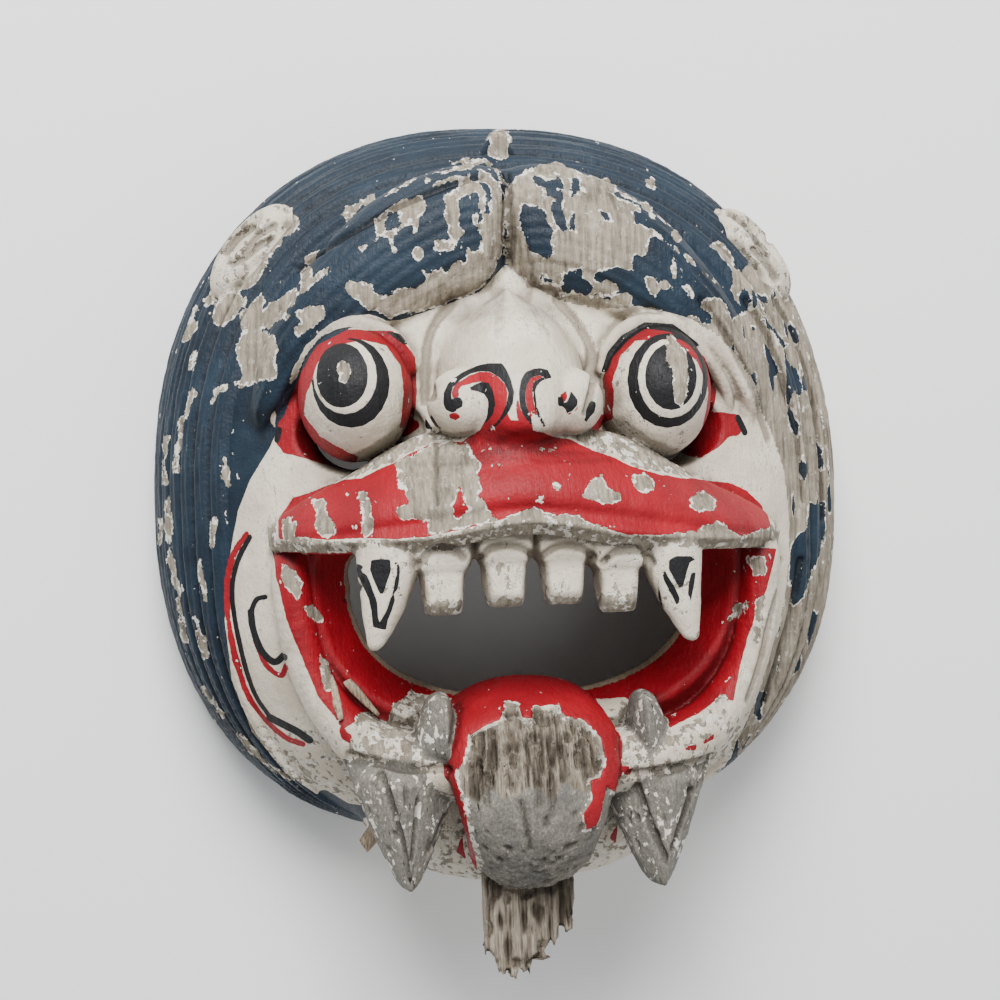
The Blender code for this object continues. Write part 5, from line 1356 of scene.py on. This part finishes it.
scuffed += 0.2 * smooth(0.35, 0.8, ridge) * outside
worn = np.where(blue > -0.3, hair_worn, -3.0)
blue = np.minimum(blue, (ear_gap - 0.8) * 3)
eye_worn = np.where(eye_worn > -1, eye_worn, -3)
worn = np.max([worn, lip_worn, np.minimum(tongue_torn, 3), eye_worn], axis=0)
worn = np.maximum(worn, np.where(red > -0.5, ring_worn, -3.0))
broken = points[:, 1] < STUB_BREAK
worn = np.maximum(worn, (0.8 - stub_gap) * 4 * broken - 3 * ~broken)
worn = np.maximum(worn, 0.55 - 4 * smooth(0.4, 1.2, np.minimum(tuft_gap, stump_gap)))
worn = np.where(gouged | behind, 4.0, worn)
# Soil and shade: creases, splits, slots and grooves darken where the wood closes in round a point,
# partly the dirt of age and partly painted shade.
soil_and_shade = 0.95 * crevice + 0.9 * wide_crevice**2 + 0.7 * grooves + splits + slots
soil_and_shade = np.clip(soil_and_shade, 0, 1)
old = np.maximum(old, smooth(0.9, 0.2, stump_gap))


def tell(mesh, label, values):
    """Gives each point of a mesh a number that its finish reads by name."""
    mesh.attributes.new(label, "FLOAT", "POINT").data.foreach_set("value", values.astype(np.float32))


# Finish of the block: wood, a chalky white ground, white, blue, red and black paint in layers.
# Each layer ends where its distance, made ragged by noise, passes 0, and is a step in the relief.
# Over all the layers, creases and grooves are darkened by dirt and by painted shade.


def node(tree, kind, **values):
    """A node with settings by name, and inputs given as in_Name."""
    made = tree.nodes.new(kind)
    for label, value in values.items():
        if not label.startswith("in_"):
            setattr(made, label, value)
    for label, value in values.items():
        if label.startswith("in_"):
            made.inputs[label[3:].replace("_", " ")].default_value = value
    return made


def math_node(tree, operation, a, b=None, c=None, clamp=False):
    """A Math node fed by numbers or by other nodes' outputs."""
    made = tree.nodes.new("ShaderNodeMath")
    made.operation = operation
    made.use_clamp = clamp
    for slot, value in enumerate((a, b, c)):
        if value is None:
            continue
        if isinstance(value, (int, float)):
            made.inputs[slot].default_value = value
        else:
            tree.links.new(value, made.inputs[slot])
    return made.outputs[0]


def mixed(tree, share, a, b, blend="MIX"):
    """A colour mixed from two, each a colour or another node's output, by a share."""
    made = tree.nodes.new("ShaderNodeMix")
    made.data_type = "RGBA"
    made.blend_type = blend
    for slot, value in ((0, share), (6, a), (7, b)):
        if isinstance(value, (int, float)):
            made.inputs[slot].default_value = value
        elif isinstance(value, tuple):
            made.inputs[slot].default_value = (*value, 1)
        else:
            tree.links.new(value, made.inputs[slot])
    return made.outputs[2]


def blobs(tree, place_in, size, detail=2.0, stretch=(1, 1, 1), rough=0.55):
    """Noise about 0 whose blobs have a size in mm, stretched along the axes."""
    fit = node(tree, "ShaderNodeMapping")
    fit.inputs["Scale"].default_value = tuple(1000 / size / s for s in stretch)
    tree.links.new(place_in, fit.inputs["Vector"])
    made = node(tree, "ShaderNodeTexNoise", in_Scale=1.0, in_Detail=detail, in_Roughness=rough)
    tree.links.new(fit.outputs["Vector"], made.inputs["Vector"])
    return math_node(tree, "SUBTRACT", made.outputs["Fac"], 0.5)


def step(tree, value, start, end):
    """0 before start, 1 after end, straight between them."""
    made = node(tree, "ShaderNodeMapRange")
    tree.links.new(value, made.inputs["Value"])
    made.inputs["From Min"].default_value = start
    made.inputs["From Max"].default_value = end
    return made.outputs["Result"]


def reading(tree, label):
    """The number of that name that the mesh gives each of its points."""
    return node(tree, "ShaderNodeAttribute", attribute_name=label).outputs["Fac"]


ragged = bpy.data.node_groups.new("ragged_edge", "ShaderNodeTree")
for label in ("Distance", "Fray"):
    ragged.interface.new_socket(label, in_out="INPUT", socket_type="NodeSocketFloat")
ragged.interface.new_socket("Distance", in_out="OUTPUT", socket_type="NodeSocketFloat")
coming, going = ragged.nodes.new("NodeGroupInput"), ragged.nodes.new("NodeGroupOutput")
where = node(ragged, "ShaderNodeTexCoord").outputs["Object"]
fray = math_node(ragged, "MULTIPLY", blobs(ragged, where, 5.0, 1.0), 2.4)
fray = math_node(ragged, "MULTIPLY_ADD", blobs(ragged, where, 1.7, 2.0, (1, 1.8, 1)), 1.8, fray)
fray = math_node(ragged, "MULTIPLY_ADD", blobs(ragged, where, 0.55, 1.0), 0.7, fray)
total = math_node(ragged, "MULTIPLY_ADD", fray, coming.outputs["Fray"], coming.outputs["Distance"])
ragged.links.new(total, going.inputs["Distance"])


def frayed(tree, distance, amount):
    """A distance made ragged by an amount, for the edge of a coat of paint."""
    made = tree.nodes.new("ShaderNodeGroup")
    made.node_tree = ragged
    made.inputs["Fray"].default_value = amount
    tree.links.new(distance, made.inputs["Distance"])
    return made.outputs["Distance"]


PORE, GROUND_REMAINS = (0.07, 0.055, 0.045), (0.52, 0.48, 0.44)


def old_wood(tree, where, pale, dark):
    """Colour of weathered wood: fine grain along Y between two browns, with dark pores and pale
    remains of the ground."""
    grain = blobs(tree, where, 0.8, 4.0, (1, 14, 3), 0.65)
    share = math_node(tree, "MULTIPLY_ADD", grain, 2.4, 0.55)
    share = math_node(tree, "MULTIPLY_ADD", blobs(tree, where, 6.0, 3.0), 1.3, share, clamp=True)
    colour = mixed(tree, share, dark, pale)
    pores = step(tree, blobs(tree, where, 0.5, 2.0, (1, 3, 1)), 0.15, 0.22)
    colour = mixed(tree, math_node(tree, "MULTIPLY", pores, 0.6), colour, PORE)
    remains = step(tree, blobs(tree, where, 1.1, 4.0, (1, 2, 1), 0.7), 0.09, 0.14)
    remains = math_node(tree, "MULTIPLY", remains, 0.5)
    return mixed(tree, remains, colour, GROUND_REMAINS), grain


PALE_WOOD, DARK_WOOD = (0.35, 0.305, 0.235), (0.115, 0.095, 0.07)
PALE_FIBRE, DARK_FIBRE, SHADE_BETWEEN_FIBRES = (0.40, 0.345, 0.27), (0.12, 0.09, 0.06), (0.05, 0.036, 0.022)
PALE_GREY, DARK_GREY, DULL_GREY = (0.33, 0.305, 0.255), (0.08, 0.073, 0.06), (0.10, 0.10, 0.10)
GREY_FLECK, GREY_HOLE = (0.50, 0.47, 0.39), (0.03, 0.025, 0.02)
PALE_GOUGED, DARK_GOUGED = (0.3, 0.24, 0.17), (0.2, 0.15, 0.1)
GROUND = (0.68, 0.64, 0.56)
CLEAN_WHITE, DULL_WHITE = (0.74, 0.67, 0.55), (0.53, 0.46, 0.355)
WHITE_SPECK, WHITE_CRACK = (0.36, 0.33, 0.29), (0.10, 0.085, 0.07)
DEEP_BLUE, FADED_BLUE = (0.004, 0.0105, 0.020), (0.011, 0.026, 0.044)
DEEP_RED, BRIGHT_RED = (0.21, 0.002, 0.007), (0.33, 0.004, 0.012)
BLACK_PAINT, GRIME_AND_SHADE = (0.006, 0.006, 0.007), (0.09, 0.07, 0.05)

painted = bpy.data.materials.new("painted_wood")
painted.use_nodes = True
tree = painted.node_tree
shader = tree.nodes["Principled BSDF"]
where = node(tree, "ShaderNodeTexCoord").outputs["Object"]
fibrous, dirt_and_shade, rubbed = reading(tree, "fibre"), reading(tree, "soil_and_shade"), reading(tree, "scuffed")

wood, grain = old_wood(tree, where, PALE_WOOD, DARK_WOOD)
strings = blobs(tree, where, 0.5, 4.0, (1, 14, 2))
fibre_colour = mixed(tree, step(tree, strings, -0.2, 0.14), DARK_FIBRE, PALE_FIBRE)
# Painted shade between the torn fibres: near black where the fibre is grooved deepest.
gap = math_node(tree, "MULTIPLY_ADD", strings, 0.8, reading(tree, "gap"))
gap = math_node(tree, "MULTIPLY", step(tree, gap, 0.25, 0.85), 0.85)
fibre_colour = mixed(tree, gap, fibre_colour, SHADE_BETWEEN_FIBRES)
granules = step(tree, blobs(tree, where, 0.55, 4.0, (1, 1.6, 1), 0.75), -0.22, 0.24)
weathered = mixed(tree, granules, DARK_GREY, PALE_GREY)
clouded = step(tree, blobs(tree, where, 6.0, 3.0, (1, 1.5, 1)), -0.16, 0.16)
weathered = mixed(tree, clouded, mixed(tree, 0.5, weathered, DULL_GREY), weathered)
flecks = step(tree, blobs(tree, where, 0.7, 3.0, (1, 1.5, 1), 0.7), 0.13, 0.17)
weathered = mixed(tree, math_node(tree, "MULTIPLY", flecks, 0.7), weathered, GREY_FLECK)
holes = step(tree, blobs(tree, where, 1.3, 3.0, (1, 4, 1)), 0.17, 0.21)
weathered = mixed(tree, holes, weathered, GREY_HOLE)
wood = mixed(tree, reading(tree, "old"), wood, weathered)
wood = mixed(tree, fibrous, wood, fibre_colour)
fresh_cut = mixed(tree, step(tree, strings, -0.2, 0.2), DARK_GOUGED, PALE_GOUGED)
wood = mixed(tree, reading(tree, "gouged"), wood, fresh_cut)

gone = frayed(tree, reading(tree, "worn"), 1.0)
specks = blobs(tree, where, 1.3, 3.0, (1, 1.6, 1))
thin = math_node(tree, "MULTIPLY_ADD", rubbed, 0.62, -0.40)
thin = math_node(tree, "ADD", thin, specks)
thin = math_node(tree, "MULTIPLY_ADD", blobs(tree, where, 6.0, 1.0), 0.5, thin)
thin_gone = math_node(tree, "MULTIPLY", thin, 3.0)
is_blue = step(tree, frayed(tree, reading(tree, "blue"), 0.12), -0.04, 0.04)
is_red = step(tree, frayed(tree, reading(tree, "red"), 0.22), -0.04, 0.04)
is_black = step(tree, frayed(tree, reading(tree, "black"), 0.08), -0.04, 0.04)
coloured = math_node(tree, "MAXIMUM", is_blue, math_node(tree, "MAXIMUM", is_red, is_black))
chips = math_node(tree, "MULTIPLY_ADD", blobs(tree, where, 2.2, 3.0, (1, 1.7, 1)), 5.0, -1.05)
nicks = math_node(tree, "MULTIPLY_ADD", blobs(tree, where, 1.3, 3.0), 6.0, -1.5)
nicks = math_node(tree, "MULTIPLY_ADD", reading(tree, "ridge"), 0.9, nicks)
chips = math_node(tree, "MAXIMUM", chips, nicks)
colour_gone = math_node(tree, "MAXIMUM", gone, chips)
white_gone = math_node(tree, "MAXIMUM", gone, thin_gone)
ground_gone = math_node(tree, "MULTIPLY_ADD", blobs(tree, where, 1.8, 3.0), 3.4, -0.22)
ground_gone = math_node(tree, "ADD", math_node(tree, "MAXIMUM", gone, thin_gone), ground_gone)

has_colour = math_node(tree, "MULTIPLY", coloured, step(tree, colour_gone, 0.05, -0.05))
not_coloured = math_node(tree, "SUBTRACT", 1.0, coloured)
has_white = math_node(tree, "MULTIPLY", not_coloured, step(tree, white_gone, 0.05, -0.05))
has_ground = step(tree, ground_gone, 0.06, -0.06)

cloud = blobs(tree, where, 12.0, 3.0)
fine = blobs(tree, where, 0.5, 2.0)
white = mixed(tree, step(tree, cloud, -0.2, 0.2), DULL_WHITE, CLEAN_WHITE)
white = mixed(tree, step(tree, fine, 0.13, 0.22), white, WHITE_SPECK)
thread = math_node(tree, "ABSOLUTE", blobs(tree, where, 3.2, 4.0, (1, 3.5, 1), 0.6))
crack = math_node(tree, "MULTIPLY", step(tree, thread, 0.008, 0.003), step(tree, cloud, 0.0, 0.1))
white = mixed(tree, math_node(tree, "MULTIPLY", crack, 0.7), white, WHITE_CRACK)
blue_paint = mixed(tree, step(tree, cloud, -0.2, 0.25), DEEP_BLUE, FADED_BLUE)
red_paint = mixed(tree, step(tree, cloud, -0.2, 0.2), DEEP_RED, BRIGHT_RED)
paint = mixed(tree, is_blue, white, blue_paint)
paint = mixed(tree, is_red, paint, red_paint)
paint = mixed(tree, is_black, paint, BLACK_PAINT)
surface_colour = mixed(tree, has_ground, wood, GROUND)
surface_colour = mixed(tree, has_white, surface_colour, white)
surface_colour = mixed(tree, has_colour, surface_colour, paint)
# Dirt and painted shade: the crease reading, broken up by noise, multiplies the colour towards a dark
# brown.
grime_and_shade = math_node(tree, "MULTIPLY_ADD", blobs(tree, where, 2.5, 3.0), 0.8, dirt_and_shade)
grime_and_shade = math_node(tree, "MULTIPLY", step(tree, grime_and_shade, 0.10, 0.85), 0.85)
grimed_and_shaded = mixed(tree, 0.75, surface_colour, GRIME_AND_SHADE, "MULTIPLY")
surface_colour = mixed(tree, grime_and_shade, surface_colour, grimed_and_shaded)
tree.links.new(surface_colour, shader.inputs["Base Color"])
rough = math_node(tree, "MULTIPLY_ADD", has_white, -0.22, 0.85)
rough = math_node(tree, "MULTIPLY_ADD", has_colour, -0.28, rough)
rough = math_node(tree, "MULTIPLY_ADD", fine, 0.35, rough, clamp=True)
tree.links.new(rough, shader.inputs["Roughness"])
film = math_node(tree, "MAXIMUM", has_colour, has_white)
height = math_node(tree, "MULTIPLY", film, 0.16)
height = math_node(tree, "MULTIPLY_ADD", has_ground, 0.10, height)
height = math_node(tree, "MULTIPLY_ADD", grain, 0.25, height)
height = math_node(tree, "MULTIPLY_ADD", blobs(tree, where, 0.8, 3.0), 0.16, height)
height = math_node(tree, "MULTIPLY_ADD", math_node(tree, "MULTIPLY", strings, fibrous), 1.2, height)
shader.inputs["Specular IOR Level"].default_value = 0.3
bump = node(tree, "ShaderNodeBump", in_Strength=1.0, in_Distance=0.001)
tree.links.new(height, bump.inputs["Height"])
tree.links.new(bump.outputs["Normal"], shader.inputs["Normal"])

# The skin stays a hair inside the box of the block, and is parted into pieces along the paint and
# along plain lines, each piece with the skin's own points and directions at its edges.
INSIDE, HAIR_FROM, LIPS_BELOW, CHIN_BELOW = 0.01, 0.6, -6, -40
low_box, high_box = (np.array(corner) * 1000 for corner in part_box("mask"))
final = np.clip(points + SHIFT, low_box + INSIDE, high_box - INSIDE)
middles = points[quads].mean(axis=1)
from_back = gouged[quads].sum(axis=1) > 2
far_out = share_out[quads].mean(axis=1) > HAIR_FROM
in_hair = ~from_back & (blue[quads].mean(axis=1) > 0) & far_out
low_half = middles[:, 1] < LIPS_BELOW
left_half = middles[:, 0] < 0
groups = {
    "hollow_left": from_back & left_half,
    "hollow_right": from_back & ~left_half,
    "hair_left": in_hair & left_half,
    "hair_right": in_hair & ~left_half,
    "brow": ~from_back & ~in_hair & ~low_half,
    "lips": ~from_back & ~in_hair & low_half & (middles[:, 1] > CHIN_BELOW),
    "chin": ~from_back & ~in_hair & (middles[:, 1] <= CHIN_BELOW),
}
readings = {
    "blue": blue, "red": red, "black": black, "worn": worn, "scuffed": scuffed,
    "fibre": fibre, "soil_and_shade": soil_and_shade, "gouged": gouged.astype(float), "old": old, "ridge": ridge,
    "gap": fibre_gaps,
}
for name, chosen in groups.items():
    used, faces = np.unique(quads[chosen], return_inverse=True)
    faces = faces.reshape(-1, 4)
    mesh = bpy.data.meshes.new(name)
    mesh.from_pydata((final[used] * 0.001).tolist(), [], faces.tolist())
    mesh.shade_smooth()
    mesh.normals_split_custom_set_from_vertices(normals[used].tolist())
    for label, values in readings.items():
        tell(mesh, label, values[used])
    mesh.materials.append(painted)
    made = bpy.data.objects.new(name, mesh)
    bpy.context.scene.collection.objects.link(made)
    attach(made, "root")
    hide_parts("mask")


# Slivers and peg: two splinters of split wood caught in the corner of the mouth, and a whittled
# peg driven into the jaw beside the left tuft. All three are bare tan wood.


def stick(name, ends, halves, sides=12, rings=14):
    """A whittled stick between two ends: round sections whose radii run from one half width to
    the next, each facet pushed out or in a little, and both tips slanted."""
    start, end = (np.array(p, float) for p in ends)
    run = (end - start) / np.linalg.norm(end - start)
    aside = np.cross(run, (0, 0, 1.0))
    aside /= np.linalg.norm(aside)
    over = np.cross(aside, run)
    t = np.linspace(0, 1, rings)[:, None]
    around = np.linspace(0, 2 * np.pi, sides, endpoint=False)[None, :]
    radius = np.interp(t, np.linspace(0, 1, len(halves)), halves)
    radius = radius * (1 + 0.16 * np.sin(3 * around + 1.0) + 0.08 * np.sin(5 * around + 6 * t))
    reach = np.linalg.norm(end - start) * t + 0.4 * radius * np.cos(around - 0.6) * (2 * t - 1)
    spots = start + reach[..., None] * run + (radius * np.cos(around))[..., None] * aside
    spots = (spots + (0.75 * radius * np.sin(around))[..., None] * over).reshape(-1, 3)
    number = np.arange(rings * sides).reshape(rings, sides)
    a, b = number[:-1], number[1:]
    faces = np.stack([a, np.roll(a, -1, 1), np.roll(b, -1, 1), b], axis=2).reshape(-1, 4).tolist()
    faces += [number[0, ::-1].tolist(), number[-1].tolist()]
    low, high = (np.array(corner) * 1000 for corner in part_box(name))
    mesh = bpy.data.meshes.new(name + "_whittled")
    spots = np.clip(spots, low + INSIDE, high - INSIDE)
    mesh.from_pydata((spots * 0.001).tolist(), [], faces)
    mesh.shade_smooth()
    tell(mesh, "along", reach.ravel())
    mesh.materials.append(bare)
    made = bpy.data.objects.new(name + "_whittled", mesh)
    bpy.context.scene.collection.objects.link(made)
    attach(made, "root")
    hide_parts(name)


PALE_TAN, DARK_TAN = (0.42, 0.34, 0.24), (0.13, 0.095, 0.06)
bare = bpy.data.materials.new("bare_wood")
bare.use_nodes = True
tree = bare.node_tree
shader = tree.nodes["Principled BSDF"]
where = node(tree, "ShaderNodeTexCoord").outputs["Object"]
ripple = math_node(tree, "MULTIPLY", reading(tree, "along"), 0.0002)
strands = blobs(tree, where, 0.45, 4.0, (1, 5, 1))
tan = mixed(tree, step(tree, strands, -0.18, 0.14), DARK_TAN, PALE_TAN)
tree.links.new(tan, shader.inputs["Base Color"])
shader.inputs["Roughness"].default_value = 0.85
bump = node(tree, "ShaderNodeBump", in_Strength=1.0, in_Distance=0.0004)
tree.links.new(math_node(tree, "ADD", strands, ripple), bump.inputs["Height"])
tree.links.new(bump.outputs["Normal"], shader.inputs["Normal"])

stick("sliver_slant", ((-38.6, -29.5, 56.7), (-32.2, -36.9, 56.5)), (0.9, 0.95, 0.75, 0.35))
stick("sliver_upright", ((-42.0, -28.2, 57.2), (-40.1, -36.9, 62.2)), (0.55, 0.95, 0.9, 0.5))
stick("jaw_peg", ((-35.6, -67.2, 39.0), (-28.8, -59.2, 37.2)), (1.5, 1.8, 1.8))


# Floor, light and camera: a pale floor under soft studio light from the crown's side. The camera
# looks down from the photograph's own angle, turned a little, with its focal length in pixels.

REACH = 1.5
corners = [(-REACH, -REACH, 0), (REACH, -REACH, 0), (REACH, REACH, 0), (-REACH, REACH, 0)]
floor = bpy.data.meshes.new("floor")
floor.from_pydata(corners, [], [(0, 1, 2, 3)])
floor = bpy.data.objects.new("floor", floor)
bpy.context.scene.collection.objects.link(floor)
pale = bpy.data.materials.new("pale_floor")
pale.use_nodes = True
shader = pale.node_tree.nodes["Principled BSDF"]
shader.inputs["Base Color"].default_value = (0.90, 0.90, 0.89, 1)
shader.inputs["Roughness"].default_value = 0.9
floor.data.materials.append(pale)

for name, spot, power_w, size in (
    ("key", (-0.10, 0.60, 0.75), 19.0, 0.45),
    ("fill", (0.45, -0.35, 0.9), 3.0, 0.9),
):
    lamp = bpy.data.lights.new(name, "AREA")
    lamp.energy = power_w
    lamp.size = size
    stand = bpy.data.objects.new(name, lamp)
    stand.location = spot
    aimed = Vector((0, 0, 0.04)) - Vector(spot)
    stand.rotation_euler = aimed.to_track_quat("-Z", "Y").to_euler()
    bpy.context.scene.collection.objects.link(stand)

world = bpy.data.worlds.new("room")
world.use_nodes = True
sky = world.node_tree.nodes["Background"]
sky.inputs["Color"].default_value = (0.95, 0.97, 1.0, 1)
sky.inputs["Strength"].default_value = 0.42
bpy.context.scene.world = world

YAW, ROLL, AWAY = math.radians(7.0), math.radians(2.0), 400.0
FRAME_WIDTH, FOCAL, SENSOR = 1000, 1822, 36
aim = np.array([-1.16, 0.0, 40.0]) + SHIFT
back = np.array([-math.sin(YAW), 0, math.cos(YAW)])
right = np.array([math.cos(YAW), 0, math.sin(YAW)])
up = np.array([0, 1.0, 0])
rolled_right = right * math.cos(ROLL) - up * math.sin(ROLL)
rolled_up = right * math.sin(ROLL) + up * math.cos(ROLL)
lens = bpy.data.cameras.new("camera")
lens.sensor_width = SENSOR
lens.lens = SENSOR * FOCAL / FRAME_WIDTH
lens.clip_start = 0.01
camera = bpy.data.objects.new("camera", lens)
spot = (aim + back * AWAY) * 0.001
turned = Matrix((rolled_right, rolled_up, back)).transposed().to_4x4()
camera.matrix_world = Matrix.Translation(Vector(spot)) @ turned
bpy.context.scene.collection.objects.link(camera)
bpy.context.scene.camera = camera
